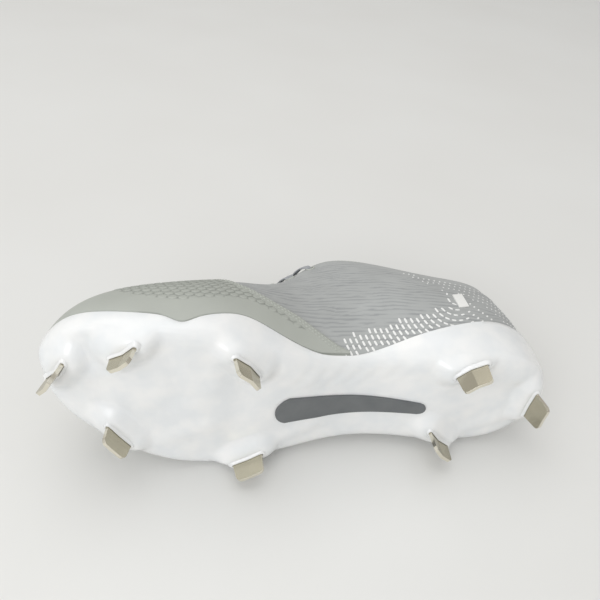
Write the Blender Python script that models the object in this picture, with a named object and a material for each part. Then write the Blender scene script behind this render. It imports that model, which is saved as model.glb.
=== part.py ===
"""Baseball cleat for the right foot, lying on its outer side.

Lengths are in millimetres. In the shoe's own frame X runs from the heel to the toe, +Y is the inner
side of the foot and +Z goes up through the ankle. The shoe hangs on one empty, which lays it down on
the outer edge of its sole and on the outer side of its upper, toe towards -X.
"""

import math

import bmesh
import bpy
import numpy as np
from mathutils import Matrix, Vector

MILLIMETRE = 0.001

# Driving sizes of the foot form.
SHOE_LENGTH = 300.0
BALL_WIDTH = 103.0
INSTEP_HEIGHT = 66.0
COLLAR_HEIGHT = 86.0
TONGUE_TOP = 126.0
TOE_SPRING = 22.0
HEEL_RISE = 5.0
ARCH_RISE = 7.0

# Walls and clearances.
CLEARANCE = 0.3
PLATE_THICKNESS = 4.7
PLATE_WALL = 2.0
PLATE_LIP = 1.2
EDGE_ROUND = 9.0
UPPER_WALL = 2.2
COLLAR_PADDING = 3.5
OVERLAY_THICKNESS = 0.9
OVERLAY_CLEARANCE = 0.45
INSOLE_THICKNESS = 4.0
TONGUE_THICKNESS = 3.5
TONGUE_FIRST = 27.0
TONGUE_LAST = 94.0
INLAY_THICKNESS = 0.8

# Steel blades and the bosses that hold them.
BLADE_HEIGHT = 13.0
BLADE_WIDTH = 19.0
BLADE_THICKNESS = 2.0
BLADE_BEND = 16.0
BLADE_CORNER = 3.2
BLADE_TAPER = 0.8
BOSS_HEIGHT = 5.0
BOSS_TOP = 3.0
BOSS_SPREAD = 11.0

# Grey inlay under the waist.
INLAY_LENGTH = 92.0
INLAY_FRONT_WIDTH = 20.0
INLAY_BACK_WIDTH = 8.0
INLAY_MIDDLE = 0.415
INLAY_ASIDE = -0.065

# Lacing.
LACE_WIDTH = 4.4
LACE_THICKNESS = 1.3
LACE_LIFT = 0.4
EYELET_ROWS = 6
EYELET_FROM_EDGE = 7.0
EYELET_SHARE = 0.2
THROAT_HALF = 18.0
COLUMN_LENGTH = 80.0
LACE_FIRST = 56.0
LACE_LAST = 95.0
LACE_CLEARANCE = 0.7

# Small notch in the rim of the sole's side wall at the inner ball.
NOTCH_AT = 0.754
NOTCH_DEPTH = 3.5
NOTCH_HALF = 7.0

# Facets around the outline.
UPPER_COLUMNS = 84
PLATE_COLUMNS = 104

# How far the soft side gives where the shoe rests on it.
REST_SINK = 0.45

# One row for each cross section, from the toe tip to the back of the heel. "at" is a share of
# SHOE_LENGTH. inner and outer are the half widths of the sole, and swell_in and swell_out how far
# each side swells, as shares of BALL_WIDTH. top_at is where that section's column ends, a share of
# SHOE_LENGTH, top_half its half width and turn_out the reach of its last curve, shares of
# BALL_WIDTH. The height of the top edge is low_top shares of INSTEP_HEIGHT and high_top shares of
# COLLAR_HEIGHT together. rise and turn_up are shares of COLLAR_HEIGHT, and so are rim_in and
# rim_out, the height of the sole's side wall. pad is the share of COLLAR_PADDING.
COLUMNS = (
    "at", "inner", "outer", "top_at", "top_half", "low_top", "high_top",
    "swell_in", "swell_out", "rise", "turn_out", "turn_up", "rim_in", "rim_out", "pad",
)
SECTIONS = (
    (1.00, 0.070, -0.070, 0.705, 0.000, 0.97, 0.00, 0.01, 0.01, 0.25, 0.46, -0.02, 0.08, 0.08, 0.0),
    (0.98, 0.196, 0.049, 0.704, 0.030, 0.97, 0.00, 0.04, 0.02, 0.27, 0.46, -0.02, 0.08, 0.08, 0.0),
    (0.94, 0.336, 0.196, 0.701, 0.060, 0.98, 0.00, 0.08, 0.04, 0.29, 0.43, -0.02, 0.09, 0.09, 0.0),
    (0.88, 0.426, 0.320, 0.692, 0.097, 0.99, 0.00, 0.10, 0.05, 0.31, 0.37, -0.02, 0.09, 0.10, 0.0),
    (0.80, 0.474, 0.429, 0.670, 0.130, 1.03, 0.00, 0.11, 0.06, 0.33, 0.30, -0.02, 0.08, 0.11, 0.0),
    (0.72, 0.483, 0.491, 0.632, 0.158, 1.08, 0.00, 0.12, 0.07, 0.34, 0.25, -0.03, 0.09, 0.12, 0.0),
    (0.66, 0.457, 0.500, 0.598, 0.172, 1.13, 0.00, 0.13, 0.08, 0.34, 0.21, -0.05, 0.13, 0.12, 0.0),
    (0.60, 0.392, 0.469, 0.560, 0.184, 1.20, 0.00, 0.14, 0.09, 0.35, 0.17, -0.09, 0.10, 0.12, 0.0),
    (0.50, 0.295, 0.420, 0.490, 0.205, 1.42, 0.00, 0.16, 0.10, 0.35, 0.13, -0.16, 0.01, 0.11, 0.0),
    (0.40, 0.271, 0.377, 0.415, 0.245, 1.08, 0.40, 0.17, 0.10, 0.34, 0.11, -0.22, 0.02, 0.12, 0.2),
    (0.30, 0.319, 0.352, 0.325, 0.295, 0.48, 0.78, 0.16, 0.08, 0.33, 0.10, -0.24, 0.12, 0.16, 0.9),
    (0.20, 0.360, 0.350, 0.220, 0.310, 0.05, 0.98, 0.13, 0.07, 0.31, 0.09, -0.24, 0.22, 0.21, 1.0),
    (0.12, 0.348, 0.336, 0.120, 0.280, 0.02, 0.98, 0.10, 0.06, 0.30, 0.07, -0.26, 0.27, 0.25, 1.0),
    (0.06, 0.282, 0.282, 0.055, 0.210, 0.00, 1.02, 0.07, 0.05, 0.30, 0.06, -0.30, 0.26, 0.25, 1.0),
    (0.02, 0.180, 0.194, 0.022, 0.115, 0.00, 1.06, 0.04, 0.04, 0.31, 0.05, -0.33, 0.21, 0.22, 1.0),
    (0.00, -0.010, 0.010, 0.012, 0.000, 0.00, 1.08, 0.02, 0.02, 0.32, 0.04, -0.34, 0.17, 0.17, 1.0),
)

# One row for each blade: its name, its place as shares of SHOE_LENGTH and BALL_WIDTH, its turn in
# degrees from the shoe's length towards the inner side, and its width and height as shares of
# BLADE_WIDTH and BLADE_HEIGHT.
BLADES = (
    ("spike_toe", 0.950, 0.128, -61.0, 0.88, 1.0),
    ("spike_inner_front", 0.843, 0.345, -44.0, 0.84, 0.75),
    ("spike_inner_ball", 0.642, 0.318, 43.0, 1.0, 0.85),
    ("spike_outer_front", 0.846, -0.235, 46.0, 0.95, 0.80),
    ("spike_outer_ball", 0.606, -0.395, -31.0, 0.96, 0.90),
    ("spike_heel_inner", 0.217, 0.304, -40.0, 1.0, 1.0),
    ("spike_heel_outer", 0.220, -0.262, 39.0, 1.0, 1.0),
    ("spike_heel_back", 0.044, 0.020, 90.0, 1.0, 1.0),
)

# The overlay's top edge, as a share of the way up the upper's column. "at" is the angle around the
# outline in degrees: 0 at the toe tip, positive along the inner side, negative along the outer side.
OVERLAY_EDGE = (
    (-76.0, 0.20),
    (-60.0, 0.36),
    (-30.0, 0.50),
    (0.0, 0.56),
    (30.0, 0.66),
    (50.0, 0.78),
    (57.0, 0.77),
    (62.0, 0.69),
    (66.0, 0.58),
    (71.0, 0.45),
    (76.0, 0.37),
    (81.0, 0.30),
    (85.0, 0.24),
    (91.0, 0.125),
    (97.0, 0.06),
)


class LoopCurve:
    """A smooth closed curve of one value around the outline, read at any angle in radians."""

    def __init__(self, angles, values):
        order = np.argsort(angles)
        self.angles = np.asarray(angles, float)[order]
        self.values = np.asarray(values, float)[order]
        self.steps = np.diff(np.append(self.angles, self.angles[0] + 2 * math.pi))
        self.bends = self.solve_bends()

    def solve_bends(self):
        count = len(self.values)
        system = np.zeros((count, count))
        slopes = (np.roll(self.values, -1) - self.values) / self.steps
        for here in range(count):
            before = (here - 1) % count
            after = (here + 1) % count
            system[here, before] += self.steps[before]
            system[here, here] += 2 * (self.steps[before] + self.steps[here])
            system[here, after] += self.steps[here]
        return np.linalg.solve(system, 6 * (slopes - np.roll(slopes, 1)))

    def __call__(self, angle):
        angle = np.asarray(angle, float)
        turned = (angle - self.angles[0]) % (2 * math.pi) + self.angles[0]
        here = np.clip(np.searchsorted(self.angles, turned, side="right") - 1, 0, len(self.angles) - 1)
        after = (here + 1) % len(self.angles)
        step = self.steps[here]
        along = turned - self.angles[here]
        left = step - along
        curve = (self.bends[here] * left**3 + self.bends[after] * along**3) / (6 * step)
        straight_left = (self.values[here] / step - self.bends[here] * step / 6) * left
        straight_right = (self.values[after] / step - self.bends[after] * step / 6) * along
        return curve + straight_left + straight_right


def column(name):
    """One column of the section table."""
    return np.array([row[COLUMNS.index(name)] for row in SECTIONS])


def around(inner, outer):
    """The closed curve of a column on the inner side and another on the outer side."""
    angles = np.arccos(np.clip(2 * column("at") - 1, -1, 1))
    both_angles = np.concatenate([angles, -angles[1:-1]])
    return LoopCurve(both_angles, np.concatenate([inner, outer[1:-1]]))


def same_around(name, size):
    return around(column(name) * size, column(name) * size)


OUTLINE_Y = around(column("inner") * BALL_WIDTH, -column("outer") * BALL_WIDTH)
TOP_AT = same_around("top_at", SHOE_LENGTH)
TOP_Y = around(column("top_half") * BALL_WIDTH, -column("top_half") * BALL_WIDTH)
LOW_TOP = same_around("low_top", INSTEP_HEIGHT)
HIGH_TOP = same_around("high_top", COLLAR_HEIGHT)
SWELL = around(column("swell_in") * BALL_WIDTH, column("swell_out") * BALL_WIDTH)
RISE = same_around("rise", COLLAR_HEIGHT)
TURN_OUT = same_around("turn_out", BALL_WIDTH)
TURN_UP = same_around("turn_up", COLLAR_HEIGHT)
RIM = around(column("rim_in") * COLLAR_HEIGHT, column("rim_out") * COLLAR_HEIGHT)
PADDING = same_around("pad", COLLAR_PADDING)


def ease(value):
    """0 below 0, 1 above 1, with a soft start and end."""
    value = np.clip(value, 0, 1)
    return value * value * (3 - 2 * value)


def ground(x):
    """Height of the sole's underside along the shoe: toe spring, arch and heel rise."""
    share = np.asarray(x, float) / SHOE_LENGTH
    toe = TOE_SPRING * (np.clip(share - 0.72, 0, None) / 0.28) ** 1.8
    heel = HEEL_RISE * (np.clip(0.10 - share, 0, None) / 0.10) ** 1.6
    arch = ARCH_RISE * np.sin(math.pi * np.clip((share - 0.18) / 0.44, 0, 1)) ** 2
    return toe + heel + arch


def outline(angle):
    """Plan point of the sole's outline."""
    x = SHOE_LENGTH / 2 * (1 + np.cos(angle))
    return np.stack([x, OUTLINE_Y(angle)], axis=-1)


def outward(angle):
    """Unit vector in plan, square to the outline, pointing away from the foot."""
    small = 1e-3
    along = outline(angle + small) - outline(angle - small)
    normal = np.stack([along[..., 1], -along[..., 0]], axis=-1)
    return normal / np.linalg.norm(normal, axis=-1, keepdims=True)


def spread_angles(count):
    """Angles around the outline, closer together along the waist than the cosine alone gives."""
    even = -math.pi + 2 * math.pi * np.arange(count) / count
    return even + 0.175 * np.sin(2 * even)


def upper_point(angle, share):
    """A point of the upper's outer surface: share 0 at the sole, 1 at the collar or throat edge."""
    angle, share = np.broadcast_arrays(np.asarray(angle, float), np.asarray(share, float))
    out = outward(angle)
    foot_plan = outline(angle) - out * (PLATE_WALL + CLEARANCE)
    foot_z = ground(foot_plan[..., 0]) + PLATE_THICKNESS + CLEARANCE
    foot = np.concatenate([foot_plan, foot_z[..., None]], axis=-1)
    top = np.stack([TOP_AT(angle), TOP_Y(angle), LOW_TOP(angle) + HIGH_TOP(angle)], axis=-1)
    reach = foot_plan - top[..., :2] + out * BALL_WIDTH / 4
    reach = reach / np.linalg.norm(reach, axis=-1, keepdims=True)
    swell = np.concatenate([out * SWELL(angle)[..., None], RISE(angle)[..., None]], axis=-1)
    turn = np.concatenate([reach * TURN_OUT(angle)[..., None], TURN_UP(angle)[..., None]], axis=-1)
    part = share[..., None]
    rest = 1 - part
    return (
        rest**3 * foot
        + 3 * rest**2 * part * (foot + swell)
        + 3 * rest * part**2 * (top + turn)
        + part**3 * top
    )


def upper_normal(angle, share):
    """Outward unit normal of the upper's outer surface."""
    small = 1e-3
    angle, share = np.broadcast_arrays(np.asarray(angle, float), np.asarray(share, float))
    low = np.clip(share - small, 0, 1)
    high = np.clip(share + small, 0, 1)
    round_it = upper_point(angle + small, share) - upper_point(angle - small, share)
    up_it = upper_point(angle, high) - upper_point(angle, low)
    normal = np.cross(round_it, up_it)
    return normal / np.linalg.norm(normal, axis=-1, keepdims=True)


def offset_upper(angle, share, distance):
    distance = np.asarray(distance, float)
    return upper_point(angle, share) + upper_normal(angle, share) * distance[..., None]


def wall_thickness(angle, share):
    """Thickness of the upper: one wall, padded towards the collar."""
    return UPPER_WALL + PADDING(angle) * ease((np.asarray(share, float) - 0.6) / 0.3)


def rim_share(angle):
    """How far up the upper's column the sole's side wall reaches."""
    trial = np.linspace(0, 0.5, 41)
    heights = upper_point(np.asarray(angle)[..., None], trial)[..., 2]
    away = (outline(angle)[..., 0] - NOTCH_AT * SHOE_LENGTH) / NOTCH_HALF
    notch = np.where(np.asarray(angle) > 0, NOTCH_DEPTH * np.exp(-(away**2)), 0.0)
    wanted = RIM(angle) - notch + heights[..., 0]
    return np.array([np.interp(w, h, trial) for w, h in zip(np.ravel(wanted), heights.reshape(-1, 41))])


def boss_places():
    """Name, centre, turn, top height, slope, width and height of each blade's boss."""
    for name, along, across, turn, wide, high in BLADES:
        centre = np.array([along * SHOE_LENGTH, across * BALL_WIDTH])
        slope = float(ground(centre[0] + 1) - ground(centre[0] - 1)) / 2
        top = float(ground(centre[0])) - BOSS_HEIGHT
        yield name, centre, math.radians(turn), top, slope, wide * BLADE_WIDTH, high * BLADE_HEIGHT


def underside(plan):
    """Height of the sole's underside at plan points, with its bosses, without the round edge."""
    height = ground(plan[..., 0])
    for _, centre, turn, top, slope, wide, _ in boss_places():
        away = plan - centre
        along = away[..., 0] * math.cos(turn) + away[..., 1] * math.sin(turn)
        across = away[..., 1] * math.cos(turn) - away[..., 0] * math.sin(turn)
        reach = wide / 2 - BOSS_TOP / 2
        beyond = np.hypot(along - np.clip(along, -reach, reach), across)
        share = 1 - ease((beyond - BOSS_TOP) / BOSS_SPREAD)
        height = height * (1 - share) + (top + slope * away[..., 0]) * share
    return height


def centre_line(angle):
    """Plan point of the sole's middle line that belongs to an outline angle."""
    x = SHOE_LENGTH / 2 + (SHOE_LENGTH / 2 - 2 * EDGE_ROUND) * np.cos(angle)
    return np.stack([x, (OUTLINE_Y(angle) + OUTLINE_Y(-np.asarray(angle))) / 2], axis=-1)


def material(name, colour, roughness, metallic=0.0):
    made = bpy.data.materials.new(name)
    made.use_nodes = True
    shader = made.node_tree.nodes["Principled BSDF"]
    linear = [channel / 12.92 if channel <= 0.04045 else ((channel + 0.055) / 1.055) ** 2.4 for channel in colour]
    shader.inputs["Base Color"].default_value = (*linear, 1.0)
    shader.inputs["Roughness"].default_value = roughness
    shader.inputs["Metallic"].default_value = metallic
    return made


def add_object(name, points, faces, surface):
    """One closed solid, its points given in millimetres."""
    mesh = bpy.data.meshes.new(name)
    mesh.from_pydata([tuple(float(c) * MILLIMETRE for c in point) for point in points], [], faces)
    work = bmesh.new()
    work.from_mesh(mesh)
    bmesh.ops.recalc_face_normals(work, faces=work.faces)
    work.to_mesh(mesh)
    work.free()
    mesh.materials.append(surface)
    mesh.shade_smooth()
    mesh.set_sharp_from_angle(angle=math.radians(35))
    made = bpy.data.objects.new(name, mesh)
    bpy.context.scene.collection.objects.link(made)
    return made


def quads(rows, columns, closed_rows, closed_columns):
    """Faces of a grid whose points run along its columns first."""
    faces = []
    for row in range(rows if closed_rows else rows - 1):
        for place in range(columns if closed_columns else columns - 1):
            right = (place + 1) % columns
            below = (row + 1) % rows
            corners = (row * columns + place, row * columns + right)
            faces.append((*corners, below * columns + right, below * columns + place))
    return faces


def ring_solid(name, rings, surface):
    """A solid from closed rings of equal count, joined in order and back to the first."""
    points = np.concatenate(rings)
    faces = quads(len(rings), len(rings[0]), True, True)
    return add_object(name, points, faces, surface)


def slab_solid(name, front, back, surface):
    """A solid between two grids (rows, columns, 3) that cover the same patch."""
    rows, columns = front.shape[:2]
    count = rows * columns
    face_front = quads(rows, columns, False, False)
    face_back = [tuple(count + corner for corner in reversed(face)) for face in face_front]
    border = [(0, place) for place in range(columns)]
    border += [(row, columns - 1) for row in range(1, rows)]
    border += [(rows - 1, place) for place in range(columns - 2, -1, -1)]
    border += [(row, 0) for row in range(rows - 2, 0, -1)]
    edge = [row * columns + place for row, place in border]
    sides = []
    for here, after in zip(edge, edge[1:] + edge[:1]):
        sides.append((here, after, count + after, count + here))
    points = np.concatenate([front.reshape(-1, 3), back.reshape(-1, 3)])
    return add_object(name, points, face_front + face_back + sides, surface)


def make_upper(surface):
    """The textile shell: outer wall up to the collar and throat edge, inner wall back down."""
    angles = spread_angles(UPPER_COLUMNS)
    shares = np.linspace(0, 1, 11)
    outer = [offset_upper(angles, share, 0.0 * angles) for share in shares]
    inner = [offset_upper(angles, share, -wall_thickness(angles, share)) for share in shares]
    return ring_solid("upper", outer + inner[::-1], surface)


def make_plate(surface):
    """The moulded sole: underside with bosses, round edge, side wall, and the footbed within."""
    angles = spread_angles(PLATE_COLUMNS)
    centre = centre_line(angles)
    edge = outline(angles)
    width = np.linalg.norm(edge - centre, axis=-1)
    flat_end = 1 - EDGE_ROUND / width
    rings = []
    for part in (0.0, 0.17, 0.34, 0.51, 0.68, 0.85, 1.0):
        plan = centre + (edge - centre) * (part * flat_end)[:, None]
        rings.append(np.column_stack([plan, underside(plan)]))
    for turn in (0.34, 0.64, 0.87):
        inset = EDGE_ROUND * (1 - math.sin(turn * math.pi / 2))
        plan = edge + (centre - edge) * (inset / width)[:, None]
        lift = (PLATE_THICKNESS + CLEARANCE) * (1 - math.cos(turn * math.pi / 2))
        rings.append(np.column_stack([plan, underside(plan) + lift]))
    rim = rim_share(angles)
    for part in (0.0, 0.35, 0.7, 1.0):
        thick = PLATE_WALL + (PLATE_LIP - PLATE_WALL) * part**2
        rings.append(offset_upper(angles, rim * part, CLEARANCE + thick + 0.0 * rim))
    for part in (1.0, 0.6, 0.2):
        rings.append(offset_upper(angles, rim * part, CLEARANCE + 0.0 * rim))
    out = outward(angles)
    floor = edge - out * PLATE_WALL
    for part in (1.0, 0.5, 0.0):
        plan = centre + (floor - centre) * part
        rings.append(np.column_stack([plan, ground(plan[:, 0]) + PLATE_THICKNESS]))
    return capped_loft("outsole_plate", rings, surface)


def capped_loft(name, rings, surface):
    """Rings joined in order. The first and last lie flat on the middle line and are sewn shut there:
    the points at an angle and at its mirror angle are the same point."""
    count = len(rings[0])
    inside = rings[1:-1]
    points = list(np.concatenate(inside))
    faces = quads(len(inside), count, False, True)
    half = count // 2
    for ring, wall in ((rings[0], 0), (rings[-1], (len(inside) - 1) * count)):
        start = len(points)
        points += [ring[place] for place in range(half + 1)]
        for place in range(count):
            right = (place + 1) % count
            here = start + min(place, count - place)
            after = start + min(right, count - right)
            corners = [wall + place, wall + right, after, here]
            faces.append(tuple(dict.fromkeys(corners)))
    return add_object(name, points, faces, surface)


def make_insole(surface):
    """The footbed liner, clear of the upper's wall and the sole."""
    angles = spread_angles(56)
    centre = centre_line(angles)
    inset = PLATE_WALL + UPPER_WALL + 2 * CLEARANCE + 0.4
    edge = outline(angles) - outward(angles) * inset
    rings = []
    for part, lift in ((0.0, 0.0), (0.5, 0.0), (1.0, 0.0), (1.0, 1.0), (0.5, 1.0), (0.0, 1.0)):
        plan = centre + (edge - centre) * part
        height = ground(plan[:, 0]) + PLATE_THICKNESS + CLEARANCE + lift * INSOLE_THICKNESS
        rings.append(np.column_stack([plan, height]))
    return capped_loft("insole", rings, surface)


def throat_point(angle, across, distance):
    """A point on the bridge between the two throat edges, which runs on from the upper's own slope.

    across is -1 at the outer edge and 1 at the inner one, and distance is from the upper's surface.
    """
    angle = np.asarray(angle, float)
    part = (np.asarray(across, float)[..., None] + 1) / 2
    left = offset_upper(-angle, 1.0 + 0.0 * angle, distance + 0.0 * angle)
    right = offset_upper(angle, 1.0 + 0.0 * angle, distance + 0.0 * angle)
    span = np.linalg.norm(right - left, axis=-1, keepdims=True)
    left_way = upper_point(-angle, 1.0) - upper_point(-angle, 0.97)
    right_way = upper_point(angle, 1.0) - upper_point(angle, 0.97)
    left_way = left_way / np.linalg.norm(left_way, axis=-1, keepdims=True) * span / 3
    right_way = right_way / np.linalg.norm(right_way, axis=-1, keepdims=True) * span / 3
    rest = 1 - part
    return (
        rest**3 * left
        + 3 * rest**2 * part * (left + left_way)
        + 3 * rest * part**2 * (right + right_way)
        + part**3 * right
    )


def tongue_rows():
    """Cross sections of the tongue's outer face, from under the vamp to its free end."""
    angles = np.radians(np.linspace(TONGUE_FIRST, TONGUE_LAST, 13))
    depth = UPPER_WALL + 2 * CLEARANCE
    rows = []
    for angle in angles:
        pad = float(PADDING(angle))
        row = [offset_upper(-angle, share, -depth - pad) for share in (0.80, 0.90)]
        row += [throat_point(angle, across, -depth - pad) for across in np.linspace(-1, 1, 7)]
        row += [offset_upper(angle, share, -depth - pad) for share in (0.90, 0.80)]
        rows.append(np.array(row))
    last = rows[-1]
    middle = last[len(last) // 2]
    rise = TONGUE_TOP - middle[2]
    for part, narrow in ((0.22, 0.64), (0.55, 0.66), (0.88, 0.60), (1.0, 0.44)):
        shift = np.array([-0.75 * rise * part, 0.0, rise * part])
        rows.append((last - middle) * (narrow, narrow, 0.7 * narrow) + middle + shift)
    return np.array(rows)


def grid_normals(grid):
    along = np.gradient(grid, axis=0)
    across = np.gradient(grid, axis=1)
    normal = np.cross(along, across)
    return normal / np.linalg.norm(normal, axis=-1, keepdims=True)


def make_tongue(surface):
    """The tongue under the laces, clear of the throat's edges."""
    face = tongue_rows()
    normal = grid_normals(face)
    inward = normal if normal[0, face.shape[1] // 2, 2] < 0 else -normal
    return slab_solid("tongue", face, face + inward * TONGUE_THICKNESS, surface)


def make_overlay(surface):
    """The smooth guard over the toe and the inner forefoot, between two offsets of the upper."""
    edge_angles = np.radians([row[0] for row in OVERLAY_EDGE])
    edge_shares = [row[1] for row in OVERLAY_EDGE]
    angles = spread_angles(UPPER_COLUMNS)
    angles = angles[(angles >= edge_angles[0]) & (angles <= edge_angles[-1])]
    low = rim_share(angles) + 0.02
    high = np.interp(angles, edge_angles, edge_shares)
    rows = [low + (np.maximum(high, low + 0.03) - low) * part for part in np.linspace(0, 1, 10)]
    front = np.array([offset_upper(angles, row, OVERLAY_CLEARANCE + OVERLAY_THICKNESS + 0 * row) for row in rows])
    back = np.array([offset_upper(angles, row, OVERLAY_CLEARANCE + 0 * row) for row in rows])
    return slab_solid("toe_overlay", front, back, surface)


def make_blade(place, surface):
    """A steel blade bent along its middle, square to the sole, its lower corners rounded."""
    name, centre, turn, top, slope, wide, high = place
    half = wide / 2
    half_bend = math.radians(BLADE_BEND / 2)
    lean = math.tan(half_bend)
    corner = BLADE_CORNER / half
    down = np.array([slope, 0.0, -1.0]) / math.hypot(slope, 1)
    along_way = np.array([math.cos(turn), math.sin(turn), slope * math.cos(turn)])
    along_way = along_way / np.linalg.norm(along_way)
    across_way = np.cross(along_way, down)
    seat = np.array([centre[0], centre[1], top])
    spots = (-1.0, -1.0 + corner * 0.3, -1.0 + corner, 0.0, 1.0 - corner, 1.0 - corner * 0.3, 1.0)
    grids = []
    for side in (-0.5, 0.5):
        rows = []
        for low in (0.0, 1.0):
            row = []
            for spot in spots:
                past = min(1.0, max(0.0, abs(spot) - (1 - corner)) / corner)
                cut = BLADE_CORNER * (1 - math.sqrt(1 - past * past))
                along = spot * (half - low * BLADE_TAPER)
                across = (abs(along) - half / 2) * lean + side * BLADE_THICKNESS / math.cos(half_bend)
                depth = CLEARANCE + low * (high - cut)
                row.append(seat + along_way * along + across_way * across + down * depth)
            rows.append(row)
        grids.append(rows)
    return slab_solid(name, np.array(grids[0]), np.array(grids[1]), surface)


def make_inlay(surface):
    """A plain tapering bar with round ends, laid on the underside of the waist."""
    middle = np.array([INLAY_MIDDLE * SHOE_LENGTH, INLAY_ASIDE * BALL_WIDTH])
    ends = (INLAY_BACK_WIDTH, INLAY_FRONT_WIDTH)
    parts = (1 - np.cos(np.linspace(0.22, math.pi - 0.22, 19))) / 2
    grid = []
    for part in parts:
        half = (ends[0] + (ends[1] - ends[0]) * part) / 2
        reach_back = part * INLAY_LENGTH
        reach_front = (1 - part) * INLAY_LENGTH
        for reach, end in ((reach_back, ends[0] / 2), (reach_front, ends[1] / 2)):
            if reach < end:
                half = min(half, math.sqrt(end**2 - (end - reach) ** 2))
        x = middle[0] + (part - 0.5) * INLAY_LENGTH
        grid.append([(x, middle[1] + spot * half) for spot in (-1.0, -0.4, 0.4, 1.0)])
    plan = np.array(grid)
    base = underside(plan) - CLEARANCE
    top = np.dstack([plan, base])
    face = np.dstack([plan, base - INLAY_THICKNESS])
    return slab_solid("shank_inlay", face, top, surface)


def lace_strip(name, here, after, side, lift, surface):
    """A flat strip over the throat, from one side at one eyelet row to the other side at the next."""
    ends = 1.0 + EYELET_FROM_EDGE / THROAT_HALF
    height = LACE_CLEARANCE + LACE_THICKNESS / 2 + lift
    centre = []
    for part in np.linspace(0, 1, 9):
        angle = here + (after - here) * part
        across = side * ends * (1 - 2 * part)
        over = max(0.0, abs(across) - 1.0) * THROAT_HALF / COLUMN_LENGTH
        if over > 0:
            centre.append(offset_upper(math.copysign(angle, across), 1.0 - over, height))
        else:
            centre.append(throat_point(angle, across, height))
    centre = np.array(centre)
    way = np.gradient(centre, axis=0)
    way = way / np.linalg.norm(way, axis=-1, keepdims=True)
    forward = offset_upper(here, 1.0, 0.0) - offset_upper(after, 1.0, 0.0)
    sideways = forward - way * (way @ forward)[:, None]
    sideways = sideways / np.linalg.norm(sideways, axis=-1, keepdims=True)
    up = np.cross(way, sideways)
    up = up * np.sign(up[:, 2:3])
    rings = []
    for wide, high in ((-0.5, -0.5), (0.5, -0.5), (0.5, 0.5), (-0.5, 0.5)):
        rings.append(centre + sideways * wide * LACE_WIDTH + up * high * LACE_THICKNESS)
    grid = np.stack(rings, axis=1)
    faces = quads(len(centre), 4, False, True)
    last = (len(centre) - 1) * 4
    faces += [(0, 1, 2, 3), (last, last + 1, last + 2, last + 3)]
    return add_object(name, grid.reshape(-1, 3), faces, surface)


def make_laces(surface):
    """The lace's crossings over the throat, each of two strips joined in the middle."""
    rows = np.radians(np.linspace(LACE_FIRST, LACE_LAST, EYELET_ROWS))
    crossings = []
    helpers = []
    for number, (here, after) in enumerate(zip(rows[:-1], rows[1:]), start=1):
        inset = (after - here) * EYELET_SHARE
        strip = lace_strip(f"lace_{number}", here + inset, after - inset, 1, 0.0, surface)
        other = lace_strip(f"lace_{number}_under", here + inset, after - inset, -1, LACE_LIFT, surface)
        other.hide_render = True
        other.display_type = "WIRE"
        join = strip.modifiers.new("join", "BOOLEAN")
        join.operation = "UNION"
        join.object = other
        crossings.append(strip)
        helpers.append(other)
    return crossings, helpers


def resting_turn(pieces):
    """The turn and shift that lay the shoe on its outer side, on the face of its hull below its weight."""
    hull = bmesh.new()
    for piece in pieces:
        for vertex in piece.data.vertices:
            hull.verts.new(vertex.co)
    bmesh.ops.convex_hull(hull, input=hull.verts)
    shell = next(piece for piece in pieces if piece.name == "upper")
    sole = next(piece for piece in pieces if piece.name == "outsole_plate")
    weight = Vector((0.0, 0.0, 0.0))
    for piece, part in ((shell, 0.5), (sole, 0.5)):
        middle = sum((vertex.co for vertex in piece.data.vertices), Vector()) / len(piece.data.vertices)
        weight += middle * part
    best = None
    for face in hull.faces:
        if face.normal.y > -0.8:
            continue
        foot = weight - face.normal * (weight - face.verts[0].co).dot(face.normal)
        inside = bmesh.geometry.intersect_face_point(face, foot)
        height = (face.verts[0].co - weight).dot(face.normal)
        if inside and (best is None or height < best[0]):
            best = (height, face.normal.copy())
    down = best[1]
    hull.free()
    up = -down
    toe = Vector((1.0, 0.0, 0.0))
    back = -(toe - up * toe.dot(up)).normalized()
    turn = Matrix((back, up.cross(back), up)).to_4x4()
    return turn


def lay_down(pieces, helpers):
    """Hangs every piece on one empty that rests the shoe on the ground, centred on the origin."""
    turn = resting_turn(pieces)
    corners = np.array([turn @ vertex.co for piece in pieces for vertex in piece.data.vertices])
    low = corners.min(axis=0)
    high = corners.max(axis=0)
    sink = REST_SINK * MILLIMETRE
    shift = Vector((-(low[0] + high[0]) / 2, -(low[1] + high[1]) / 2, -low[2] - sink))
    place = Matrix.Translation(shift) @ turn
    back = place.inverted()
    for piece in pieces:
        for vertex in piece.data.vertices:
            spot = place @ vertex.co
            if spot.z < 0:
                vertex.co = back @ Vector((spot.x, spot.y, 0.0))
    holder = bpy.data.objects.new("shoe", None)
    bpy.context.scene.collection.objects.link(holder)
    holder.matrix_world = place
    for piece in pieces + helpers:
        piece.parent = holder


def main():
    for old in list(bpy.data.objects):
        bpy.data.objects.remove(old, do_unlink=True)
    plastic = material("white moulded plastic", (0.90, 0.90, 0.91), 0.25)
    grey_plastic = material("grey moulded plastic", (0.42, 0.43, 0.44), 0.4)
    textile = material("grey textile", (0.66, 0.67, 0.68), 0.75)
    film = material("grey moulded film", (0.69, 0.70, 0.68), 0.5)
    foam = material("grey footbed cloth", (0.55, 0.56, 0.57), 0.9)
    cord = material("grey lace", (0.70, 0.71, 0.72), 0.85)
    steel = material("nickel plated steel", (0.71, 0.69, 0.63), 0.25, 1.0)
    pieces = [
        make_plate(plastic),
        make_upper(textile),
        make_insole(foam),
        make_tongue(textile),
        make_overlay(film),
        make_inlay(grey_plastic),
    ]
    for place in boss_places():
        pieces.append(make_blade(place, steel))
    crossings, helpers = make_laces(cord)
    pieces += crossings
    lay_down(pieces, helpers)


main()
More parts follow.
